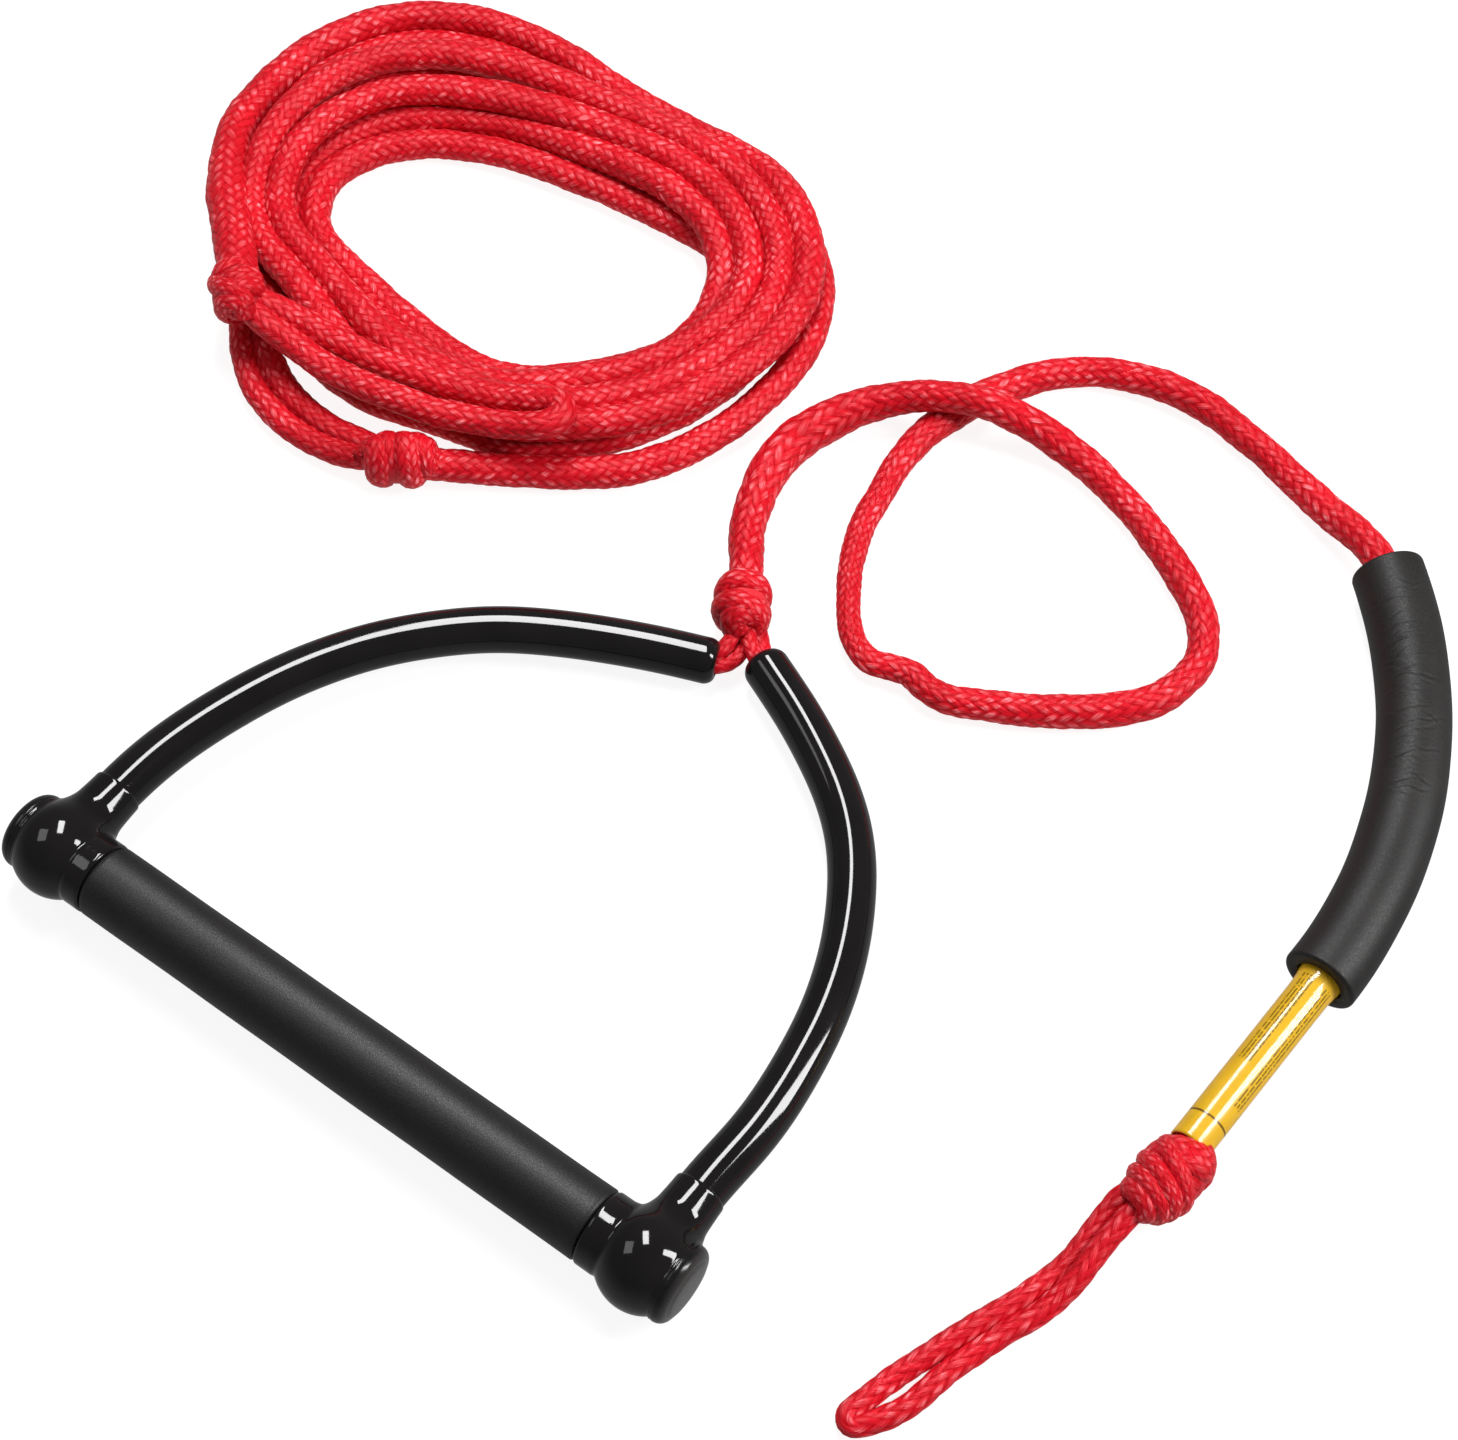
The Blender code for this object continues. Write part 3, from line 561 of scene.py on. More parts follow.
ROPE = rope_material()
VINYL = vinyl_material()
GRIP = foam_material("grip_foam", (0.0085, 0.0080, 0.0082), 1500.0, 0.30, 0.40, 0.56, 0.10, 0.42)
FLOAT = foam_material("float_foam", (0.0125, 0.0113, 0.0108), 1100.0, 0.30, 0.42, 0.60, 0.12, 0.32)

# ------------------------------------------------------------------ bar and arms
GRIP_HALF, GRIP_R = 113.2, 14.25


def lathe(name, profile, body, sides=128, mat=None):
    """Closed lathe; profile runs from axis or bore round the outside."""
    prof = np.asarray(profile, float)
    ring = lathe_points(prof, sides, len(prof))
    n = len(prof)
    verts = ring.reshape(-1, 3)
    faces = grid_faces(n, sides)
    last = (n - 1) * sides
    j = np.arange(sides)
    close = np.stack([last + j, last + (j + 1) % sides, (j + 1) % sides, j], 1)
    obj = make_object(name, row(verts), [np.vstack([faces, close])], body)
    bm = bmesh.new()
    bm.from_mesh(obj.data)
    bmesh.ops.remove_doubles(bm, verts=bm.verts, dist=1e-7)
    bmesh.ops.recalc_face_normals(bm, faces=bm.faces)
    bm.to_mesh(obj.data)
    bm.free()
    obj.data.polygons.foreach_set("use_smooth", np.full(len(obj.data.polygons), True))
    if mat:
        obj.data.materials.append(mat)
    return obj


# Foam grip: rounded rims, and a very slight swell where the foam is pushed on.
xs = np.linspace(-GRIP_HALF, GRIP_HALF, 181)
prof = []
for x in xs:
    edge = GRIP_HALF - abs(x)
    r = GRIP_R
    if edge < 1.0:
        r -= 1.0 - math.sqrt(max(0.0, 1.0 - (1.0 - edge) ** 2))
    r += 0.05 * math.sin(x * 0.11) + 0.04 * math.sin(x * 0.047 + 1.0)
    prof.append((x, r))
prof += [(GRIP_HALF, 11.35), (-GRIP_HALF, 11.35)]
grip = lathe("grip_foam_sleeve", prof, "handle", 144, GRIP)
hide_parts("grip_sleeve")

# ------------------------------------------------------------------ end boots
BALL_X, ARM_R, ARM_BORE = 134.5, 9.15, 4.8


def smin(a, b, k):
    h = np.clip(0.5 + 0.5 * (b - a) / k, 0.0, 1.0)
    return b + (a - b) * h - k * h * (1.0 - h)


def boot_field(x, y, z):
    """Distance-like field of a left or right boot about its own ball, in mm.
    x runs outward along the bar, y along the arm, z up from the bar's axis."""
    r = np.sqrt(y * y + z * z)
    ball = np.sqrt((x * 1.0) ** 2 + (r * 0.985) ** 2) - 18.2
    # ball flattened where the disc's waist begins
    ball = np.maximum(ball, x - 12.6)
    cx = np.abs(x + 16.9) - 4.2
    cr = r - 14.45
    q = 1.3
    collar = (np.sqrt(np.maximum(cx + q, 0) ** 2 + np.maximum(cr + q, 0) ** 2)
              + np.minimum(np.maximum(cx, cr) + q, 0) - q)
    body = smin(collar, ball, 2.2)
    ra = np.sqrt(x * x + z * z)
    rn = 10.0 + 0.6 * np.clip((31.0 - y) / 11.0, 0.0, 1.2) ** 1.5
    neck = np.maximum(-smin(rn - ra, 31.5 - y, 1.4), -y)
    out = smin(body, neck, 5.4)
    waist = np.maximum(np.abs(x - 12.2) - 0.4, r - 15.0)
    return smin(out, waist, 1.6)


def boot_bores(x, y, z):
    r = np.sqrt(y * y + z * z)
    ra = np.sqrt(x * x + z * z)
    core = r - 11.2
    arm = np.maximum(ra - 9.2, np.maximum(18.7 - y, y - 27.0))
    hole = np.maximum(ra - 4.9, np.maximum(8.0 - y, y - 22.0))
    return np.minimum(np.minimum(core, arm), hole)


def surface_nets(fn, lo, hi, cell):
    """Quads round a field's zero level, corners then pulled onto it."""
    axes = [np.arange(a, b + cell, cell) for a, b in zip(lo, hi)]
    gx, gy, gz = np.meshgrid(*axes, indexing="ij")
    v = fn(gx, gy, gz)
    nx, ny, nz = v.shape
    neg = v < 0
    corner = [(i, j, k) for i in (0, 1) for j in (0, 1) for k in (0, 1)]
    cells = sum(neg[i:nx - 1 + i, j:ny - 1 + j, k:nz - 1 + k].astype(int) for i, j, k in corner)
    mixed = (cells > 0) & (cells < 8)
    index = -np.ones(mixed.shape, int)
    idx = np.argwhere(mixed)
    index[tuple(idx.T)] = np.arange(len(idx))
    acc = np.zeros((len(idx), 3))
    cnt = np.zeros(len(idx))
    for a in corner:
        for ax in range(3):
            if a[ax]:
                continue
            b = list(a)
            b[ax] = 1
            va = v[idx[:, 0] + a[0], idx[:, 1] + a[1], idx[:, 2] + a[2]]
            vb = v[idx[:, 0] + b[0], idx[:, 1] + b[1], idx[:, 2] + b[2]]
            hit = (va < 0) != (vb < 0)
            t = np.where(hit, va / np.where(va - vb == 0, 1, va - vb), 0)
            p = np.stack([np.full(len(idx), float(c)) for c in a], 1)
            p[:, ax] += t
            acc[hit] += p[hit]
            cnt[hit] += 1
    pts = np.array([a[0] for a in axes]) + cell * (idx + acc / cnt[:, None])
    faces = []
    for ax in range(3):
        u, w = (ax + 1) % 3, (ax + 2) % 3
        sl0 = [slice(1, -1)] * 3
        a0, a1 = [slice(1, n - 1) for n in v.shape], [slice(1, n - 1) for n in v.shape]
        a0[ax], a1[ax] = slice(0, v.shape[ax] - 1), slice(1, v.shape[ax])
        n0, n1 = neg[tuple(a0)], neg[tuple(a1)]
        cross = np.argwhere(n0 != n1)
        if not len(cross):
            continue
        inside = n0[tuple(cross.T)]
        base = cross.copy()
        base[:, u] += 1
        base[:, w] += 1
        quad = []
        for du, dw in ((0, 0), (-1, 0), (-1, -1), (0, -1)):
            c = base.copy()
            c[:, u] += du
            c[:, w] += dw
            quad.append(index[tuple(c.T)])
        quad = np.stack(quad, 1)
        quad[~inside] = quad[~inside][:, ::-1]
        faces.append(quad)
    faces = np.vstack(faces)
    for _ in range(4):
        f = fn(*pts.T)
        g = np.stack([(fn(*(pts + d).T) - fn(*(pts - d).T)) / 0.1
                      for d in np.eye(3) * 0.05], 1)
        n2 = np.maximum((g * g).sum(1), 0.05)
        pts = pts - np.clip(f / n2, -0.4, 0.4)[:, None] * g
    return pts, faces


def cap_material():
    """Moulded cap: the same black, a softer gloss than the dipped arms."""
    mat, nt, bsdf = node_material("moulded_cap")
    tex = nt.nodes.new("ShaderNodeTexCoord")
    fine = nt.nodes.new("ShaderNodeTexNoise")
    fine.inputs["Scale"].default_value = 420.0
    fine.inputs["Detail"].default_value = 2.0
    nt.links.new(tex.outputs["Object"], fine.inputs["Vector"])
    sep = nt.nodes.new("ShaderNodeSeparateXYZ")
    nt.links.new(tex.outputs["Object"], sep.inputs[0])
    out = math_node(nt, "ABSOLUTE", sep.outputs[0])
    # painted reflection: the outer face is painted paler grey than the rim, standing in for the grey
    # sheen it reflects
    face_reflection_paint = math_node(nt, "MULTIPLY", math_node(nt, "SUBTRACT", out, vb=0.1490), vb=330.0, clamp=True)
    mix = nt.nodes.new("ShaderNodeMix")
    mix.data_type = "RGBA"
    nt.links.new(face_reflection_paint, mix.inputs[0])
    nt.links.new(ramp_node(nt, fine.outputs[0], [(0.3, (0.0060, 0.0054, 0.0056)),
                                                 (0.7, (0.0090, 0.0080, 0.0084))]),
                 mix.inputs[6])
    mix.inputs[7].default_value = (0.040, 0.038, 0.0375, 1.0)
    nt.links.new(mix.outputs[2], bsdf.inputs["Base Color"])
    nt.links.new(ramp_node(nt, fine.outputs[0], [(0.3, (0.16,) * 3), (0.7, (0.24,) * 3)]),
                 bsdf.inputs["Roughness"])
    bsdf.inputs["IOR"].default_value = 1.40
    return mat


CAP = cap_material()
for side, s in (("left", -1), ("right", 1)):
    cell = 0.55
    pts, quads = surface_nets(lambda x, y, z: np.maximum(boot_field(x, y, z), -boot_bores(x, y, z)),
                              (-22.2, -20.2, -20.2), (14.2, 41.0, 20.2), cell)
    world = np.stack([s * (BALL_X + pts[:, 0]), pts[:, 1], BAR_Z + pts[:, 2]], 1)
    if s < 0:
        quads = quads[:, ::-1]
    boot = make_object("boot_" + side, row(world), [quads], "handle")
    boot.data.materials.append(VINYL)
    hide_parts("end_boot_" + side)
    # Plug: the flanged disc that closes the bar's end.
    p = [(142.4, 0.0), (142.4, 9.0), (142.9, 9.35), (146.4, 9.35), (146.4, 13.6)]
    for k in range(9):
        a = math.pi * (1.0 - k / 8.0) / 2 + math.pi / 2 * 0
        p.append((147.6 - 1.2 * math.sin(a), 14.1 + 1.1 * math.cos(a)))
    for k in range(1, 13):
        a = k / 12 * math.pi / 2
        p.append((147.6 + 4.1 * math.sin(a), 15.2 - 3.6 * (1 - math.cos(a))))
    p += [(152.1, 11.0), (152.35, 9.0), (152.5, 6.0), (152.5, 0.0)]
    plug = lathe("plug_" + side, [(s * x, r) for x, r in p], "handle", 96, CAP)
    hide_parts("end_plug_" + side)

# ------------------------------------------------------------------ arm tubes
LEFT_ARM = [(-134.5, 19.0, 18.5), (-134.5, 30.0, 18.5), (-134.4, 38.0, 18.4), (-133.2, 52.0, 17.9),
            (-129.8, 70.0, 17.1), (-125.6, 85.0, 16.4), (-121.0, 99.0, 15.8), (-115.0, 113.0, 15.1),
            (-107.5, 127.0, 14.5), (-99.0, 140.0, 13.9), (-89.0, 152.0, 13.3), (-78.5, 163.0, 12.7),
            (-67.0, 173.0, 12.2), (-54.0, 181.5, 11.7), (-40.0, 189.5, 11.2), (-26.0, 196.5, 10.7),
            (-12.0, 203.0, 10.2), (0.0, 207.8, 9.8), (7.6, 210.7, 9.6)]
RIGHT_ARM = [(134.5, 19.0, 18.5), (134.5, 30.0, 18.5), (134.7, 38.0, 18.4), (136.0, 50.0, 17.9),
             (136.6, 64.0, 17.3), (135.5, 79.0, 16.7), (133.5, 94.0, 16.1), (130.5, 110.0, 15.5),
             (126.0, 125.0, 14.9), (120.0, 140.0, 14.2), (112.0, 155.0, 13.6), (103.0, 169.0, 13.0),
             (91.5, 182.0, 12.4), (78.0, 193.0, 11.8), (63.0, 202.5, 11.2), (48.0, 211.0, 10.6),
             (33.0, 218.0, 10.0), (25.5, 221.6, 9.6)]
LEFT_TAIL = [(6.0, 210.1, 9.6), (9.2, 212.2, 9.7), (11.2, 215.6, 9.9), (12.0, 219.6, 10.4),
             (11.6, 224.0, 11.0), (9.5, 229.5, 12.0)]
RIGHT_TAIL = [(25.5, 221.6, 9.6), (22.2, 223.2, 9.6), (19.4, 224.8, 9.9), (17.0, 227.0, 10.3),
              (14.2, 230.0, 10.9), (10.0, 234.0, 11.8)]

for side, route, tail in (("left", LEFT_ARM, LEFT_TAIL), ("right", RIGHT_ARM, RIGHT_TAIL)):
    s = -1 if side == "left" else 1
    path = soften(smooth(route, 1.0), 9.0)
    t = path[-1] - path[-2]
    t /= np.linalg.norm(t)
    # dipped tip: the rim rolls over into the mouth
    extra, radii, bores = [], [], []
    path = path[:-2]
    for k in range(1, 15):
        a = k / 14 * math.pi / 2
        extra.append(path[-1] + t * 4.6 * math.sin(a))
        radii.append(ARM_R - 3.6 * (1 - math.cos(a)))
        bores.append(ARM_BORE + 0.5 * (k / 14) ** 2)
    full = np.vstack([path, extra])
    n = len(path)
    run = np.arange(n)
    rad = ARM_R + 0.05 * np.sin(run * 0.043) + 0.04 * np.sin(run * 0.021 + 2)
    arm = tube("arm_" + side, full, np.concatenate([rad, radii]), "handle", 72, "free",
               np.concatenate([np.full(n, ARM_BORE), bores]))
    arm.data.materials.append(VINYL)
    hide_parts("arm_tube_" + side)
    inside = [(s * BALL_X, 9.6, BAR_Z), (s * BALL_X, 14.0, BAR_Z)] + route[:-1]
    line = smooth(inside + tail, 1.0)
    # two flat strands lie side by side where they come out of the tube's mouth
    side_v, up_v = free_frame(line)
    run = np.concatenate([[0.0], np.cumsum(np.linalg.norm(np.diff(line, axis=0), axis=1))])
    out_of = np.clip((run - run[-1] + 24.0) / 10.0, 0.0, 1.0)[:, None]
    for k, sgn in enumerate((-1, 1)):
        strand = line + (up_v * 0.55 - side_v * 0.8) * sgn * (1.9 + 1.3 * out_of)
        rope_in, _ = braid("bridle_%s_%d" % (side, k + 1), soften(strand, 3.0), 2.75, "handle",
                           around=24, step=1.0, up="free", wide=1.15, high=0.95, amp=0.30,
                           strands=8, lay=36.0, phase=0.4 * k)
        if k == 0:
            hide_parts("bridle_rope_" + side)

# ------------------------------------------------------------------ float
FLOAT_C, FLOAT_BEND, FLOAT_TOP, FLOAT_END, FLOAT_Z = (54.0, 242.0), 213.0, 47.0, -3.9, 14.4
FLOAT_R, FLOAT_BORE = 14.3, 9.3


def on_bend(deg, z=FLOAT_Z, r=FLOAT_BEND):
    a = math.radians(deg)
    return (FLOAT_C[0] + r * math.cos(a), FLOAT_C[1] + r * math.sin(a), z)


def crease_field(seed, count, s_lo, s_hi, th_mid, th_spread):
    """Random short creases across the inside of the bend."""
    rng = np.random.default_rng(seed)
    items = []
    for _ in range(count):
        items.append((rng.uniform(s_lo, s_hi), th_mid + rng.normal(0, th_spread),
                      rng.uniform(0.35, 1.0), rng.uniform(0.45, 1.1), rng.uniform(0.12, 0.42),
                      rng.uniform(-2.2, 2.2)))

    def push(s, th):
        out = np.zeros(np.broadcast(s, th).shape)
        for s0, t0, depth, width, span, slant in items:
            d = (th - t0 + math.pi) % math.tau - math.pi
            e = np.exp(-(d / span) ** 2)
            x = s - s0 - slant * d * 3.0 - 0.6 * np.sin(d * 9.0 + s0)
            out += -0.30 * depth * e * (np.exp(-(x / (0.45 * width)) ** 2)
                                        - 0.55 * np.exp(-((x - 1.3 * width) / width) ** 2))
        return out
    return push


bend = np.array([on_bend(d) for d in np.linspace(FLOAT_TOP, FLOAT_END, 360)])
bend_len = math.radians(FLOAT_TOP - FLOAT_END) * FLOAT_BEND
creases = crease_field(5, 72, 14.0, 112.0, 0.40 * math.pi, 0.30)


def float_push(s, th):
    rim = np.minimum(s, bend_len - s)
    edge = np.where(rim < 1.1, -(1.1 - np.sqrt(np.maximum(0, 1.1 ** 2 - (1.1 - rim) ** 2))), 0.0)
    swell = 0.10 * np.sin(s * 0.071 + 2 * np.sin(th)) + 0.05 * np.sin(s * 0.17 + th)
    return edge + swell + creases(s, th)


floater = tube("float_foam_sleeve", bend, FLOAT_R, "float", 120, "level", FLOAT_BORE,
               push=float_push)
floater.data.materials.append(FLOAT)
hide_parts("float_sleeve")

# ------------------------------------------------------------------ label
TANGENT = -3.5
LD = np.array([math.sin(math.radians(TANGENT)), -math.cos(math.radians(TANGENT)), 0.0])
MOUTH = np.array(on_bend(TANGENT))


def clear_material():
    mat, nt, bsdf = node_material("clear_vinyl")
    tex = nt.nodes.new("ShaderNodeTexCoord")
    wave = nt.nodes.new("ShaderNodeTexNoise")
    wave.inputs["Scale"].default_value = 55.0
    nt.links.new(tex.outputs["Object"], wave.inputs["Vector"])
    rough = ramp_node(nt, wave.outputs[0], [(0.35, (0.06,) * 3), (0.7, (0.16,) * 3)])
    nt.links.new(rough, bsdf.inputs["Roughness"])
    bump = nt.nodes.new("ShaderNodeBump")
    bump.inputs["Strength"].default_value = 0.12
    bump.inputs["Distance"].default_value = 0.0004
    nt.links.new(wave.outputs[0], bump.inputs["Height"])
    nt.links.new(bump.outputs[0], bsdf.inputs["Normal"])
    # a film this thin neither bends nor dims what is under it
    bsdf.inputs["Base Color"].default_value = (0.68, 0.40, 0.012, 1.0)
    bsdf.inputs["Alpha"].default_value = 0.10
    bsdf.inputs["IOR"].default_value = 1.55
    bsdf.inputs["Specular IOR Level"].default_value = 0.9
    bsdf.inputs["Coat Weight"].default_value = 0.5
    bsdf.inputs["Coat Roughness"].default_value = 0.05
    return mat


def label_material():
    """Printed yellow wrap: rows of plain broken lines, thin rules at both ends."""
    mat, nt, bsdf = node_material("yellow_wrap")
    uvn = nt.nodes.new("ShaderNodeUVMap")
    uvn.uv_map = "weave"
    sep = nt.nodes.new("ShaderNodeSeparateXYZ")
    nt.links.new(uvn.outputs[0], sep.inputs[0])
    u, v = sep.outputs[0], sep.outputs[1]
    tex = nt.nodes.new("ShaderNodeTexCoord")
    fine = nt.nodes.new("ShaderNodeTexNoise")
    fine.inputs["Scale"].default_value = 160.0
    nt.links.new(tex.outputs["Object"], fine.inputs["Vector"])
    col = ramp_node(nt, fine.outputs[0], [(0.3, (0.70, 0.420, 0.012)), (0.7, (0.76, 0.465, 0.018))])

    def rule(at_mm, half):
        d = math_node(nt, "ABSOLUTE", math_node(nt, "SUBTRACT", v, vb=at_mm * 0.01))
        return math_node(nt, "LESS_THAN", d, vb=half * 0.01)

    marks = math_node(nt, "MAXIMUM", rule(82.8, 0.45), rule(-50.0, 0.2))
    mix = nt.nodes.new("ShaderNodeMix")
    mix.data_type = "RGBA"
    nt.links.new(marks, mix.inputs[0])
    nt.links.new(col, mix.inputs[6])
    mix.inputs[7].default_value = (0.06, 0.022, 0.003, 1.0)
    def band(source, low, high):
        return math_node(nt, "MULTIPLY", math_node(nt, "GREATER_THAN", source, vb=low),
                         math_node(nt, "LESS_THAN", source, vb=high))

    # the rows say nothing: each is a line broken at random
    count = math_node(nt, "DIVIDE", u, vb=0.0306)
    rows = band(math_node(nt, "FRACT", count), 0.26, 0.78)
    left = math_node(nt, "MULTIPLY", band(u, 0.1224, 0.2448), band(v, 0.150, 0.570))
    right = math_node(nt, "MULTIPLY", band(u, 0.3366, 0.4284), band(v, 0.160, 0.740))
    area = math_node(nt, "MAXIMUM", left, right)
    place = nt.nodes.new("ShaderNodeCombineXYZ")
    nt.links.new(math_node(nt, "MULTIPLY", math_node(nt, "FLOOR", count), vb=7.3),
                 place.inputs[0])
    nt.links.new(math_node(nt, "MULTIPLY", v, vb=110.0), place.inputs[1])
    breaks = nt.nodes.new("ShaderNodeTexNoise")
    breaks.inputs["Scale"].default_value = 1.0
    nt.links.new(place.outputs[0], breaks.inputs["Vector"])
    dash = math_node(nt, "GREATER_THAN", breaks.outputs[0], vb=0.43)
    ink = math_node(nt, "MULTIPLY", math_node(nt, "MULTIPLY", rows, area),
                    math_node(nt, "MULTIPLY", dash, vb=0.86))
    printed = nt.nodes.new("ShaderNodeMix")
    printed.data_type = "RGBA"
    nt.links.new(ink, printed.inputs[0])
    nt.links.new(mix.outputs[2], printed.inputs[6])
    printed.inputs[7].default_value = (0.085, 0.046, 0.003, 1.0)
    # painted shade: the wrap is painted darker brown where it sits inside the float's bore, where the
    # float shades it
    deep = math_node(nt, "MULTIPLY", math_node(nt, "SUBTRACT", v, vb=0.115), vb=-22.0, clamp=True)
    bore_shade_mix = nt.nodes.new("ShaderNodeMix")
    bore_shade_mix.data_type = "RGBA"
    nt.links.new(deep, bore_shade_mix.inputs[0])
    nt.links.new(printed.outputs[2], bore_shade_mix.inputs[6])
    bore_shade_mix.inputs[7].default_value = (0.36, 0.105, 0.006, 1.0)
    nt.links.new(bore_shade_mix.outputs[2], bsdf.inputs["Base Color"])
    rough = ramp_node(nt, fine.outputs[0], [(0.3, (0.34,) * 3), (0.7, (0.44,) * 3)])
    nt.links.new(rough, bsdf.inputs["Roughness"])
    bsdf.inputs["Specular IOR Level"].default_value = 0.22
    bsdf.inputs["Coat Weight"].default_value = 0.45
    bsdf.inputs["Coat Roughness"].default_value = 0.06
    return mat


k_clear, k_wrap = np.linspace(-12, 83.5, 96), np.linspace(-10.5, 83.2, 94)


def flare(k):
    # pushed up into the bore, the wrap opens a little
    return 1.05 / (1.0 + np.exp((k - 3.0) / 1.6))


lab = np.array([MOUTH + LD * k for k in k_clear])
clear = tube("label_clear", lab, 7.90 + flare(k_clear), "label", 72, "level",
             7.72 + flare(k_clear))
clear.data.materials.append(clear_material())
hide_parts("label_sleeve")
wr = np.array([MOUTH + LD * k for k in k_wrap])
wrap = tube("label_print", wr, 7.62 + flare(k_wrap), "label", 72, "level", 6.8)
wrap.data.materials.append(label_material())
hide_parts("label_wrap")

# ------------------------------------------------------------------ handle line
KNOT_C, KNOT_U = np.array((3.5, 237.0, 12.3)), np.array((-0.47, 0.883, 0.0))
END_C, END_U = np.array((262.0, 131.5, 13.4)), np.array((-0.16, -0.985, 0.0))
LINE = [(3.5, 237.0, 12.3), (-5.0, 251.5, 12.2), (-11.0, 260.0, 10.5), (-17.3, 269.7, 9.0),
        (-22.8, 282.0, 9.0), (-26.6, 297.7, 9.3), (-27.1, 312.8, 9.2), (-22.9, 330.2, 8.7),
        (-14.3, 345.3, 9.8), (-1.5, 356.5, 14.5), (14.5, 364.5, 18.8), (29.0, 370.5, 18.8),
        (44.0, 376.0, 14.0), (60.5, 378.0, 8.8), (79.0, 376.0, 6.7), (101.0, 369.0, 6.4),
        (122.0, 359.5, 6.4), (140.0, 349.0, 6.4), (153.5, 337.0, 6.4), (160.0, 322.5, 6.4),
        (157.0, 303.0, 6.4), (147.0, 288.0, 6.4), (130.0, 274.0, 6.4), (112.0, 262.8, 6.4),
        (99.0, 255.8, 6.4), (90.0, 252.0, 6.4), (81.0, 251.4, 6.4), (72.0, 253.2, 6.4),
        (64.5, 251.2, 6.4), (56.5, 248.6, 6.4), (48.0, 251.5, 6.4), (39.0, 259.5, 6.4),
        (31.7, 269.5, 6.4), (24.5, 282.0, 6.4), (18.0, 299.0, 6.4), (14.8, 316.0, 6.4),
        (12.4, 335.0, 6.4), (13.0, 353.0, 6.4), (21.0, 379.0, 6.4), (35.0, 403.5, 6.4),
        (50.0, 417.5, 6.4), (66.0, 426.0, 6.4), (83.0, 430.0, 6.4), (101.0, 430.5, 6.4),
        (124.0, 426.0, 6.4), (147.0, 419.5, 6.7), (166.0, 413.0, 8.6), (180.0, 408.0, 11.6),
        (190.0, 403.6, 13.8)]
LINE += [on_bend(a) for a in (47.0, 43.0, 39.0, 35.0, 31.0, 27.0, 23.0, 19.0, 15.0, 11.0, 7.0, 3.0)]
LINE += [tuple(MOUTH + LD * (k - 12.0)) for k in (2.0, 16.0, 30.0, 44.0, 58.0, 72.0, 86.0)]
LINE += [tuple(END_C)]
line_path = smooth(LINE, 0.8)[14:-14]


line_run = np.concatenate([[0.0], np.cumsum(np.linalg.norm(np.diff(line_path, axis=0), axis=1))])


def run_at(x, y):
    return float(line_run[np.argmin((line_path[:, 0] - x) ** 2 + (line_path[:, 1] - y) ** 2)])


SLIM_A, SLIM_B = run_at(101.0, 257.0), run_at(13.0, 330.0)


def slim(s):
    # pulled out thin and flat round the kink and up the near side of the loop
    return 1 / (1 + np.exp(-(s - SLIM_A - 10) / 9.0)) - 1 / (1 + np.exp(-(s - SLIM_B) / 12.0))


def line_radius(s):
    # a fat hollow bulge where the loop's tail is buried, tapering out by 130 mm
    fat = 2.5 * np.exp(-((s - 74.0) / 36.0) ** 2)
    in_float = 1 / (1 + np.exp(-(s - 800.0) / 6.0))
    out = 6.25 + fat - 1.6 * slim(s) + 0.22 * np.sin(s * 0.075) + 0.14 * np.sin(s * 0.031 + 2.0)
    return out * (1 - in_float) + 6.15 * in_float


handle_line, line_pts = braid("tow_line", line_path, line_radius, "line", around=72, step=1.0,
                              wide=lambda s: 1.0 + 0.05 * slim(s), high=lambda s: 1.0 - 0.08 * slim(s),
                              amp=0.60, strands=12, lay=74.0)
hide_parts("handle_line")

# ------------------------------------------------------------------ knots
def settle(paths, radius, turns, hold=0.02, floor=None):
    """Eases strands off each other so that they touch instead of crossing through."""
    lens = [len(p) for p in paths]
    q = np.vstack(paths).astype(float)
    home = q.copy()
    ids = np.concatenate([np.full(m, i) for i, m in enumerate(lens)])
    pos = np.concatenate([np.arange(m) for m in lens])
    n = len(q)
    step = np.linalg.norm(q[1] - q[0])
    same = (ids[:, None] == ids[None, :]) & (np.abs(pos[:, None] - pos[None, :]) * step
                                             < 3.0 * radius)
    cuts = np.concatenate([[0], np.cumsum(lens)])
    for _ in range(turns):
        d = q[:, None, :] - q[None, :, :]
        dist = np.sqrt((d * d).sum(2)) + 1e-9
        over = np.where(~same & (dist < 2 * radius), (2 * radius - dist) / dist, 0.0)
        cnt = np.maximum((over > 0).sum(1), 1)[:, None]
        move = 0.5 * (over[:, :, None] * d).sum(1) / cnt
        q += move
        q += hold * (home - q)
        for a, b in zip(cuts, cuts[1:]):
            seg = q[a:b]
            seg[1:-1] += 0.10 * (seg[:-2] + seg[2:] - 2 * seg[1:-1])
        if floor is not None:
            q[:, 2] = np.maximum(q[:, 2], floor)
    return [q[a:b].copy() for a, b in zip(cuts, cuts[1:])]


def knot_frame(u, spin):
    """Columns: along the knot, then two across it, turned by spin."""
    u = np.array(u, float)
    u /= np.linalg.norm(u)
    side = np.cross([0.0, 0.0, 1.0], u)
    side /= np.linalg.norm(side)
    up = np.cross(u, side)
    c, s = math.cos(spin), math.sin(spin)
    return np.stack([u, side * c + up * s, -side * s + up * c], 1)


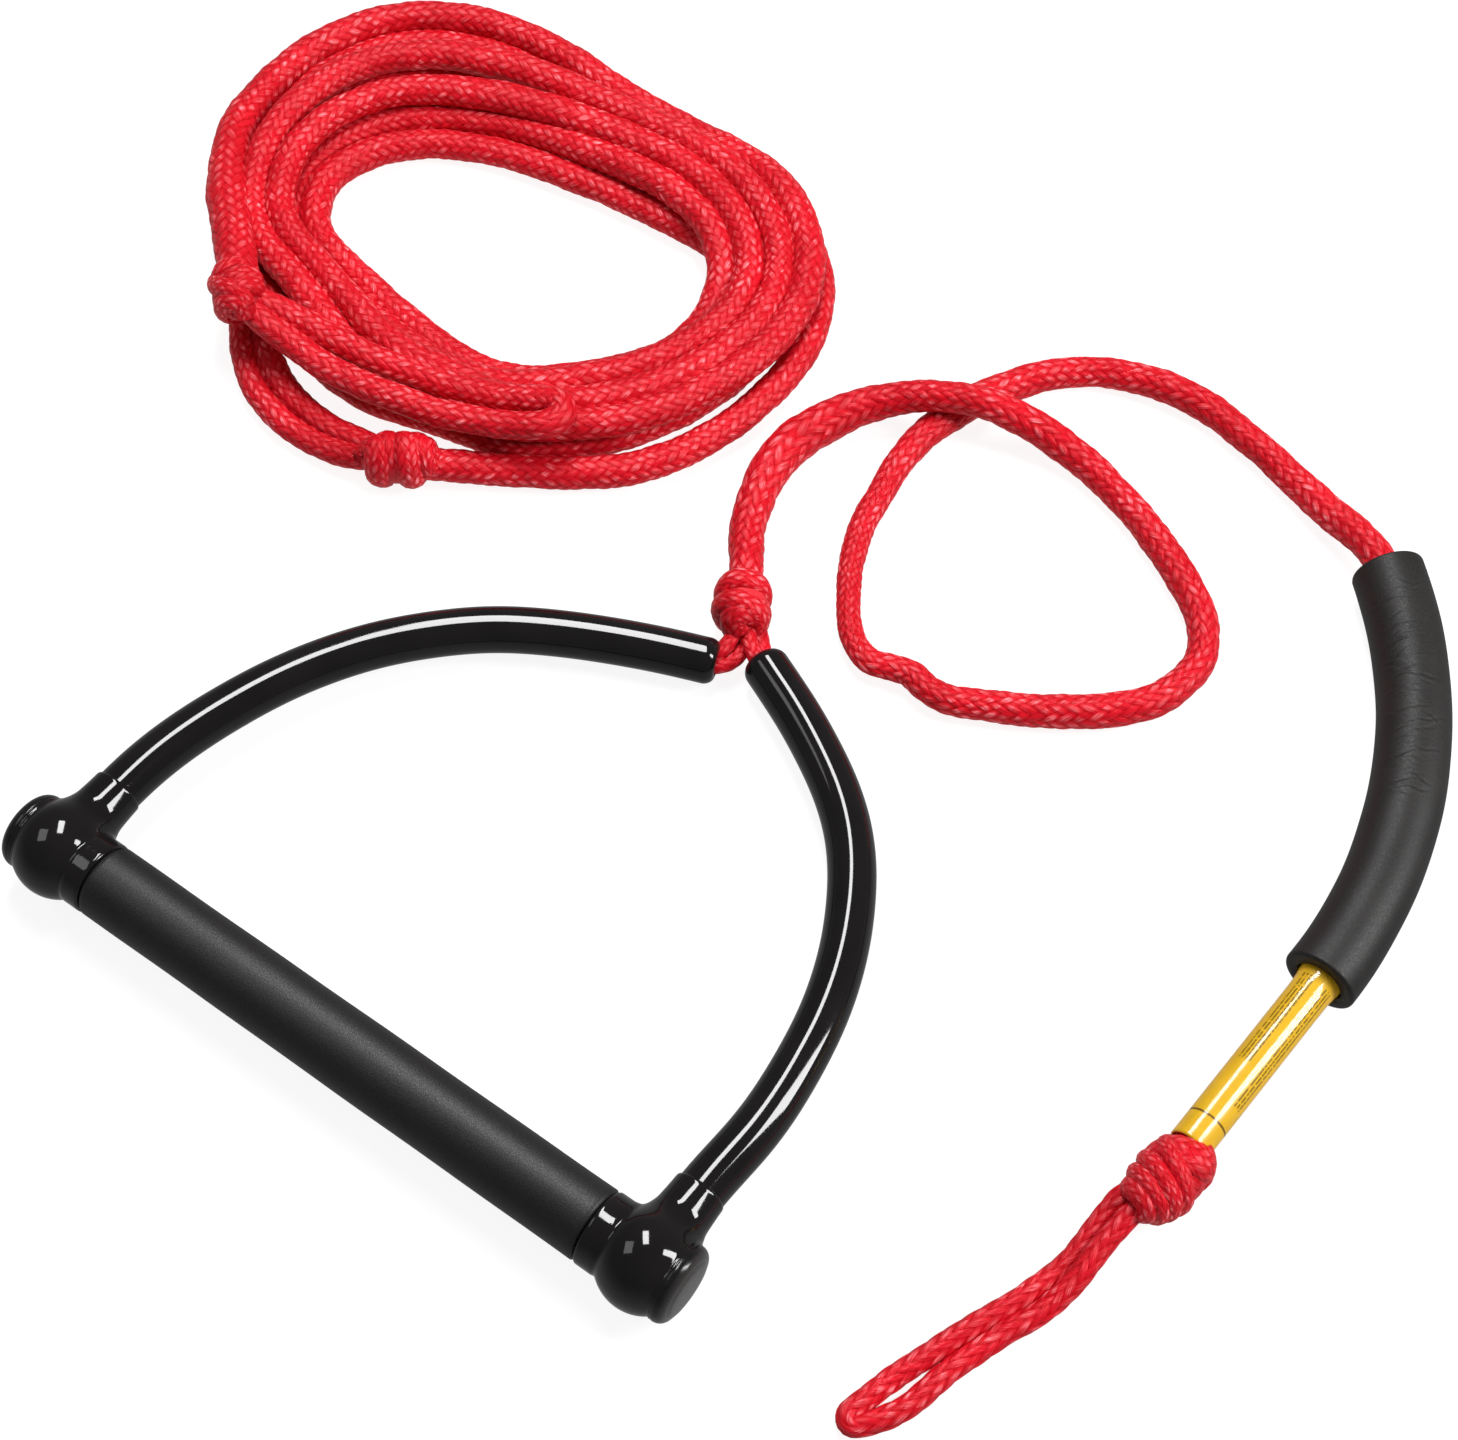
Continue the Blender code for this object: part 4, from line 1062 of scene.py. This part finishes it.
def egg(name, body, centre, m, axes, node=None):
    th = np.arange(40) * math.tau / 40
    ph = np.linspace(0.02, math.pi - 0.02, 24)
    grid = np.stack([np.repeat(np.cos(ph)[:, None], 40, 1) * axes[0],
                     np.sin(ph)[:, None] * np.cos(th)[None] * axes[1],
                     np.sin(ph)[:, None] * np.sin(th)[None] * axes[2]], -1).reshape(-1, 3)
    world = grid @ m.T + np.array(centre, float)
    j = np.arange(40)
    caps = [np.stack([np.full(38, 0), j[1:-1], j[2:]], 1),
            np.stack([np.full(38, 23 * 40), 23 * 40 + j[2:], 23 * 40 + j[1:-1]], 1)]
    obj = make_object(name, row(world), [grid_faces(24, 40)[:, ::-1]] + caps, body,
                      uv=np.tile([0.5, 0.5], (23 * 40 * 4 + 76 * 3, 1)))
    obj.data.materials.append(ROPE)
    return obj


def tied(name, body, centre, u, axes, bands, node, spin=0.0, seed=1):
    """A tied knot as its bands of rope. Each band is (list of stations, half width,
    half thickness); a station is (along -1..1, turns round, rise in mm)."""
    m = knot_frame(u, spin)
    c0 = np.array(centre, float)
    made = []
    for k, (stations, half_w, half_t) in enumerate(bands):
        st = np.asarray(stations, float)
        d = smooth(np.column_stack([st[:, 0] * 10, st[:, 1] * 30, st[:, 2]]), 0.4)
        x, turn, rise = d[:, 0] / 10, d[:, 1] / 30, d[:, 2]
        ring = np.sqrt(np.maximum(1.0 - np.minimum(np.abs(x), 0.995) ** 2.4, 0.02))
        th = turn * math.tau
        ra = (axes[1] - half_t) * ring + rise
        rb = (axes[2] - half_t) * ring + rise
        local = np.stack([x * (axes[0] - half_t * 0.7), ra * np.cos(th), rb * np.sin(th)], 1)
        out = np.stack([x / axes[0] * 0.9, ring * np.cos(th) / axes[1],
                        ring * np.sin(th) / axes[2]], 1)
        out /= np.linalg.norm(out, axis=1, keepdims=True)
        pts = soften(local @ m.T + c0, 1.5)
        r = math.sqrt(half_w * half_t)
        obj, _ = braid("%s_band_%d" % (name, k + 1), pts, r, body, around=36, step=0.8,
                       up=out @ m.T, wide=half_w / r, high=half_t / r, amp=0.36, strands=12,
                       lay=44.0, phase=0.37 * k + 0.11 * seed)
        made.append(obj)
    heart = egg(name + "_heart", body, centre, knot_frame(u, 0.0), [a * 0.80 for a in axes])
    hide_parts(node)
    made.append(heart)
    return made


# Along -1 is where the handle's tails come in, +1 where the line leaves.
handle_knot = tied("handle_knot", "handle", (3.5, 237.0, 12.3), (-0.47, 0.883, 0.0),
                   (16.0, 12.6, 11.8), [
    ([(-0.95, -0.05, -3), (-0.62, 0.05, -0.5), (-0.30, 0.30, 0), (0.10, 0.60, 0), (0.42, 0.85, 0),
      (0.62, 1.10, 0), (0.52, 1.36, 0), (0.20, 1.62, 0), (-0.1, 1.9, -1.5)], 5.6, 3.9),
    ([(-0.9, 0.42, -3), (-0.58, 0.34, 0.4), (-0.42, 0.22, 0.9), (-0.30, 0.05, 0.6),
      (-0.28, -0.15, 0), (-0.34, -0.36, -0.5), (-0.2, -0.6, -2)], 4.8, 3.6),
    ([(0.95, 0.15, -2.0), (0.80, 0.30, 0), (0.66, 0.55, 0), (0.60, 0.85, -0.5), (0.7, 1.1, -2)],
     4.6, 3.6),
], "handle_knot", spin=1.1, seed=1)
end_knot = tied("end_knot", "line", END_C, END_U, (19.5, 12.9, 12.0), [
    ([(-0.98, -0.25, -3), (-0.74, -0.10, 0), (-0.50, 0.12, 0.8), (-0.26, 0.36, 0.8),
      (-0.20, 0.66, 0.2), (-0.35, 1.0, -1.5)], 6.6, 3.6),
    ([(-0.80, 0.50, -1.5), (-0.52, 0.32, 0.9), (-0.20, 0.16, 1.4), (0.06, 0.0, 0.9),
      (0.26, -0.20, 0.2), (0.34, -0.45, -1.0)], 3.6, 3.2),
    ([(-0.40, 0.62, -1.0), (-0.12, 0.42, 0.9), (0.14, 0.23, 1.3), (0.34, 0.05, 0.9),
      (0.50, -0.16, 0.1), (0.55, -0.4, -1.0)], 3.5, 3.1),
    ([(0.0, 0.68, -1.0), (0.22, 0.48, 0.6), (0.40, 0.30, 0.9), (0.55, 0.10, 0.4),
      (0.68, -0.12, -0.3), (0.72, -0.35, -1.5)], 3.4, 3.0),
    ([(-0.86, 0.0, -1.8), (-0.62, -0.14, 0.2), (-0.34, -0.28, 0.2), (-0.06, -0.46, -0.2),
      (0.0, -0.7, -1.0)], 3.8, 3.2),
    ([(0.40, 0.78, -1.5), (0.56, 0.55, 0.0), (0.66, 0.36, 0.4), (0.76, 0.18, 0.2),
      (0.86, -0.02, -0.8), (0.95, -0.3, -3.0)], 4.2, 3.4),
], "end_knot", spin=0.9, seed=2)

# ------------------------------------------------------------------ end loop
LOOP = [tuple(END_C), (252.6, 119.0, 10.6), (250.5, 107.0, 7.2), (249.8, 92.0, 4.8),
        (244.2, 72.3, 3.8), (236.2, 53.3, 3.8), (227.6, 31.9, 3.8), (222.0, 16.4, 3.8),
        (219.2, 6.0, 3.8), (218.0, 1.0, 3.8), (220.6, -1.4, 3.8), (225.4, 2.6, 3.8),
        (231.8, 13.0, 3.8), (237.0, 32.8, 3.8), (244.8, 54.2, 3.8), (251.0, 68.3, 4.4),
        (254.8, 82.4, 6.8), (256.2, 101.0, 10.0), (258.8, 117.0, 12.6), tuple(END_C)]
loop_path = smooth(LOOP, 0.8)
end_loop, loop_pts = braid("end_loop_cord", loop_path, 3.6, "end_eye", around=40, step=0.9,
                           wide=1.12, high=0.94, amp=0.42, strands=8, lay=58.0)
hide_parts("end_loop")

# ------------------------------------------------------------------ coil
RING = np.array([
    (-120.0, 226.0, -140.0, 272.0), (-104.0, 235.5, -130.0, 285.0), (-83.0, 248.0, -120.0, 294.0),
    (-64.0, 272.0, -108.0, 305.0), (-53.0, 305.0, -98.0, 318.0), (-48.0, 345.0, -92.0, 336.0),
    (-54.0, 377.0, -93.0, 352.0), (-70.0, 402.0, -99.0, 364.0), (-95.0, 420.0, -110.0, 372.0),
    (-123.0, 429.0, -123.0, 376.0), (-159.0, 429.0, -154.0, 377.0), (-190.0, 428.0, -185.0, 372.0),
    (-234.0, 434.0, -215.0, 364.0), (-275.0, 430.0, -241.0, 352.0), (-304.0, 416.0, -254.0, 342.0),
    (-324.0, 388.0, -263.0, 332.0), (-330.0, 355.0, -270.0, 320.0), (-324.0, 318.0, -271.0, 308.0),
    (-308.0, 282.0, -266.0, 297.0), (-292.0, 260.0, -258.0, 288.0), (-273.0, 249.0, -248.0, 283.0),
    (-250.0, 247.0, -236.0, 281.0), (-229.0, 236.0, -222.0, 279.0), (-207.0, 222.0, -205.0, 276.0),
    (-186.0, 217.0, -188.0, 273.0), (-168.0, 223.0, -172.0, 270.0), (-152.0, 233.0, -160.0, 268.0),
    (-134.0, 238.0, -149.0, 268.0)])


def periodic(table, q):
    """Cubic (Catmull-Rom) reading of a closed table at fractional rows."""
    n = len(table)
    i = np.floor(q).astype(int)
    f = (q - i)[:, None]
    p0, p1, p2, p3 = (table[(i + k) % n] for k in (-1, 0, 1, 2))
    return 0.5 * (2 * p1 + (p2 - p0) * f + (2 * p0 - 5 * p1 + 4 * p2 - p3) * f ** 2
                  + (3 * p1 - p0 - 3 * p2 + p3) * f ** 3)


# Where each turn lies: across the bundle (0 outside, 1 inside) and how high, read at
# eight places round it, from knot A: left, upper left, top, upper right, right,
# lower right, bottom.
PLACES = [20.0, 16.0, 13.0, 10.0, 7.0, 4.0, 1.0, -3.0]
TURNS = [
    ([0.02, 0.065, 0.13, 0.10, 0.16, 0.33, 0.36, 0.37], [22, 10, 12, 9, 18.5, 18, 19, 17]),
    ([0.36, 0.432, 0.447, 0.28, 0.42, 0.57, 0.57, 0.62], [19, 19, 19, 18, 19, 18, 18, 17.5]),
    ([0.64, 0.676, 0.688, 0.52, 0.68, 0.80, 0.77, 0.76], [19, 17.5, 18, 19.5, 19, 18, 15.5, 12]),
    ([0.66, 0.734, 0.765, 0.76, 0.93, 0.93, 0.93, 0.96], [6.5, 6.5, 8, 17, 16, 8, 6.5, 6.5]),
    ([0.948, 0.911, 0.912, 0.91, 0.71, 0.66, 0.59, 0.51], [6.5] * 8),
    ([0.379, 0.475, 0.47, 0.508, 0.42, 0.40, 0.345, 0.25], [6.5] * 8),
    ([0.083, 0.237, 0.253, 0.32, 0.10, 0.025, 0.115, 0.03], [6.5, 6.5, 6.5, 6.5, 6.5, 6.5, 6.5, 9]),
]


def coil_path():
    qs, fs, zs = [], [], []
    for m, (f, z) in enumerate(TURNS):
        for place, a, b in zip(PLACES, f, z):
            qs.append(place - 28.0 * m)
            fs.append(a)
            zs.append(b)
    qs, fs, zs = np.array(qs), np.array(fs, float), np.array(zs, float)
    stop = PLACES[6] - 28.0 * (len(TURNS) - 1) - 0.9
    q = np.linspace(qs[0] - 0.2, stop, 1500)
    key = np.stack([fs, zs], 1)
    x = -qs
    xi = -q
    idx = np.clip(np.searchsorted(x, xi) - 1, 0, len(x) - 2)
    t = (xi - x[idx]) / (x[idx + 1] - x[idx])
    t = t * t * (3 - 2 * t)
    val = key[idx] + (key[idx + 1] - key[idx]) * t[:, None]
    f, z = val[:, 0], val[:, 1]
    f = f + 0.014 * np.sin(q * 0.9) + 0.010 * np.sin(q * 0.37 + 1.0)
    ring = periodic(RING, q)
    p = ring[:, :2] + (ring[:, 2:] - ring[:, :2]) * f[:, None]
    return np.column_stack([p, z])


raw = coil_path()
start = np.array([(-249.0, 234.0, 30.0), (-258.5, 243.5, 29.8), (-269.5, 253.0, 27.2)])
finish_at = np.array([(-128.0, 226.5, 7.5), (-137.0, 221.5, 9.5), (-146.0, 215.5, 11.2)])
raw = np.vstack([start, raw[18:-6], finish_at])
raw = soften(resample(raw, 5.0), 1.6)
coil_pts = settle([resample(raw, 5.0)], 5.85, 140, 0.03, 6.2)[0]
coil_pts = smooth(soften(coil_pts, 1.2), 1.0)


def coil_radius(s):
    # fat where its own end is buried next to the knot
    return (6.2 + 1.35 * np.exp(-(s / 260.0) ** 2) + 0.25 * np.sin(s * 0.021)
            + 0.16 * np.sin(s * 0.053 + 1.0))


coil, coil_line = braid("coil_rope", coil_pts, coil_radius, "coil", around=48, step=1.25,
                        wide=lambda s: 1.06 + 0.04 * np.sin(s * 0.017), high=0.95, amp=0.58,
                        strands=12, lay=74.0)
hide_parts("tow_line_coil")

knot_a = tied("knot_a", "coil", (-246.5, 230.5, 29.7), (0.80, -0.60, 0.0), (16.4, 13.0, 11.0), [
    ([(-0.98, 0.0, -3), (-0.70, 0.10, 0), (-0.50, 0.34, 0), (-0.36, 0.62, 0), (-0.16, 0.9, 0),
      (0.02, 1.15, 0), (0.14, 1.4, 0), (0.1, 1.7, -2)], 5.0, 3.6),
    ([(0.95, 0.0, -3), (0.66, 0.12, 0.3), (0.40, 0.30, 0.8), (0.22, 0.52, 0.5), (0.20, 0.8, 0),
      (0.4, 1.1, 0), (0.6, 1.3, -2)], 4.6, 3.5),
    ([(-0.9, 0.4, -3), (-0.62, 0.30, 0.6), (-0.2, 0.22, 1.2), (0.3, 0.12, 1.0), (0.8, 0.0, -1.5)],
     4.0, 3.0),
], "coil_knot_a", spin=1.3, seed=3)
knot_b = tied("knot_b", "coil", (-150.0, 213.0, 11.5), (0.82, 0.57, 0.0), (19.0, 12.6, 11.4), [
    ([(-0.9, -0.2, -3), (-0.52, 0.0, 0), (-0.46, 0.25, 0), (-0.40, 0.5, 0), (-0.34, 0.75, 0),
      (-0.24, 1.0, -0.5), (-0.1, 1.2, -2)], 5.4, 3.8),
    ([(-0.1, -0.3, -2), (0.16, -0.1, -0.2), (0.30, 0.12, 0), (0.34, 0.38, 0), (0.40, 0.64, 0),
      (0.52, 0.9, 0), (0.9, 1.2, -3)], 5.4, 3.8),
    ([(0.95, 0.3, -3), (0.78, 0.22, -0.4), (0.72, 0.0, -0.4), (0.74, -0.3, -0.6), (0.9, -0.5, -3)],
     3.8, 3.2),
], "coil_knot_b", spin=1.5, seed=4)

EYE_A = [(-246.5, 230.5, 29.7), (-232.5, 234.0, 27.6), (-216.0, 237.0, 24.8),
         (-198.0, 238.0, 24.6), (-181.0, 240.0, 24.6), (-165.0, 243.5, 24.6),
         (-149.0, 247.5, 24.6), (-133.0, 253.0, 24.8), (-117.0, 260.0, 27.0),
         (-106.5, 263.5, 29.5), (-101.5, 259.0, 30.0), (-104.0, 252.0, 29.5),
         (-114.0, 246.0, 27.0), (-130.0, 239.5, 24.8), (-146.0, 233.5, 24.6),
         (-163.0, 229.5, 24.6), (-180.0, 226.5, 24.6), (-198.0, 225.0, 24.6),
         (-215.0, 226.0, 24.8), (-231.0, 227.0, 27.2), (-246.5, 230.5, 29.7)]
eye_a, eye_a_pts = braid("eye_a_rope", smooth(EYE_A, 0.8), 5.5, "coil_eye", around=48, step=1.1,
                         wide=1.06, high=0.92, amp=0.50, strands=12, lay=66.0)
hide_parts("coil_eye_a")
EYE_B = [(-150.0, 213.0, 11.5), (-165.0, 207.0, 8.0), (-178.0, 203.6, 6.0), (-193.0, 202.4, 5.3),
         (-208.0, 204.0, 5.3), (-222.0, 208.6, 5.3), (-235.0, 216.5, 5.3), (-246.0, 227.0, 5.3),
         (-253.0, 237.0, 5.3), (-250.0, 242.0, 5.3), (-244.0, 238.5, 5.3), (-237.0, 230.5, 6.0),
         (-226.0, 222.5, 6.8), (-212.0, 215.8, 7.2), (-198.0, 212.2, 7.2), (-184.0, 211.2, 7.4),
         (-169.0, 212.5, 8.5), (-150.0, 213.0, 11.5)]
eye_b, eye_b_pts = braid("eye_b_rope", smooth(EYE_B, 0.8), 5.0, "coil", around=48, step=1.1,
                         wide=1.08, high=0.94, amp=0.50, strands=12, lay=66.0)
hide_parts("coil_eye_b")

# ------------------------------------------------------------------ inner pieces
def brushed_metal():
    mat, nt, bsdf = node_material("drawn_aluminium")
    tex = nt.nodes.new("ShaderNodeTexCoord")
    grain = nt.nodes.new("ShaderNodeTexNoise")
    grain.inputs["Scale"].default_value = 700.0
    nt.links.new(tex.outputs["Object"], grain.inputs["Vector"])
    nt.links.new(ramp_node(nt, grain.outputs[0], [(0.3, (0.66, 0.67, 0.69)),
                                                  (0.7, (0.76, 0.77, 0.79))]),
                 bsdf.inputs["Base Color"])
    nt.links.new(ramp_node(nt, grain.outputs[0], [(0.3, (0.22,) * 3), (0.7, (0.34,) * 3)]),
                 bsdf.inputs["Roughness"])
    bsdf.inputs["Metallic"].default_value = 1.0
    return mat


METAL = brushed_metal()
WHITE = foam_material("float_core_foam", (0.78, 0.78, 0.75), 900.0, 0.3, 0.7, 0.9, 0.05)
for node, mat in (("core_tube", METAL), ("core_foam", WHITE), ("stopper_knot_left", ROPE),
                  ("stopper_knot_right", ROPE)):
    o = bpy.data.objects.get(node)
    if o is not None:
        o.data.materials.clear()
        o.data.materials.append(mat)


def at(path):
    return [tuple(map(float, p)) for p in row(path)]


at(line_pts[:1])[0]
at(line_pts)
at(loop_pts[:1])[0]
at(loop_pts)
at(coil_line[:1])[0]
at(coil_line)
at(eye_a_pts[:1])[0]
at(eye_a_pts)
at(eye_b_pts[:1])[0]
at(eye_b_pts)

# ------------------------------------------------------------------ floor and light
def plane(name, size, z=0.0):
    mesh = bpy.data.meshes.new(name)
    mesh.from_pydata([(-size, -size, z), (size, -size, z), (size, size, z), (-size, size, z)], [],
                     [(0, 1, 2, 3)])
    obj = bpy.data.objects.new(name, mesh)
    bpy.context.scene.collection.objects.link(obj)
    return obj


floor = plane("floor", 4.0, -0.0002)
fmat, fnt, fb = node_material("floor_white")
fb.inputs["Base Color"].default_value = (0.17, 0.17, 0.17, 1.0)
fb.inputs["Roughness"].default_value = 0.9
fb.inputs["Specular IOR Level"].default_value = 0.0
fb.inputs["Emission Color"].default_value = (1.0, 1.0, 1.0, 1.0)
fb.inputs["Emission Strength"].default_value = 0.90
floor.data.materials.append(fmat)
floor.visible_glossy = False

world = bpy.data.worlds.new("studio")
world.use_nodes = True
wnt = world.node_tree
wtex = wnt.nodes.new("ShaderNodeTexCoord")
wsep = wnt.nodes.new("ShaderNodeSeparateXYZ")
wnt.links.new(wtex.outputs["Generated"], wsep.inputs[0])
# a dim ceiling, and the white sweep below as the gloss sees it
wnt.links.new(ramp_node(wnt, math_node(wnt, "ADD", math_node(wnt, "MULTIPLY", wsep.outputs[2], vb=0.5),
                                       vb=0.5),
                        [(0.30, (0.34,) * 3), (0.50, (0.20,) * 3), (0.62, (0.13,) * 3)]),
              wnt.nodes["Background"].inputs[0])
wnt.nodes["Background"].inputs[1].default_value = 1.0
bpy.context.scene.world = world


def area(name, at_mm, aim_mm, size, power, colour=(1, 1, 1)):
    data = bpy.data.lights.new(name, "AREA")
    data.shape = "RECTANGLE"
    data.size, data.size_y = size
    data.energy = power
    data.color = colour
    obj = bpy.data.objects.new(name, data)
    a, b = Vector(row(at_mm)), Vector(row(aim_mm))
    obj.location = a
    obj.rotation_euler = (b - a).to_track_quat("-Z", "Y").to_euler()
    bpy.context.scene.collection.objects.link(obj)
    return obj


area("soft_left", (-447, 775, 1575), (25, 198, 0), (0.36, 1.0), 27.0)
area("soft_right", (1250, 863, 1050), (25, 198, 0), (0.36, 1.0), 27.0)
area("top", (-1000, -300, 1500), (40, 220, 0), (0.8, 0.6), 4.0)

bpy.context.scene.view_settings.view_transform = "Standard"
bpy.context.scene.view_settings.look = "None"
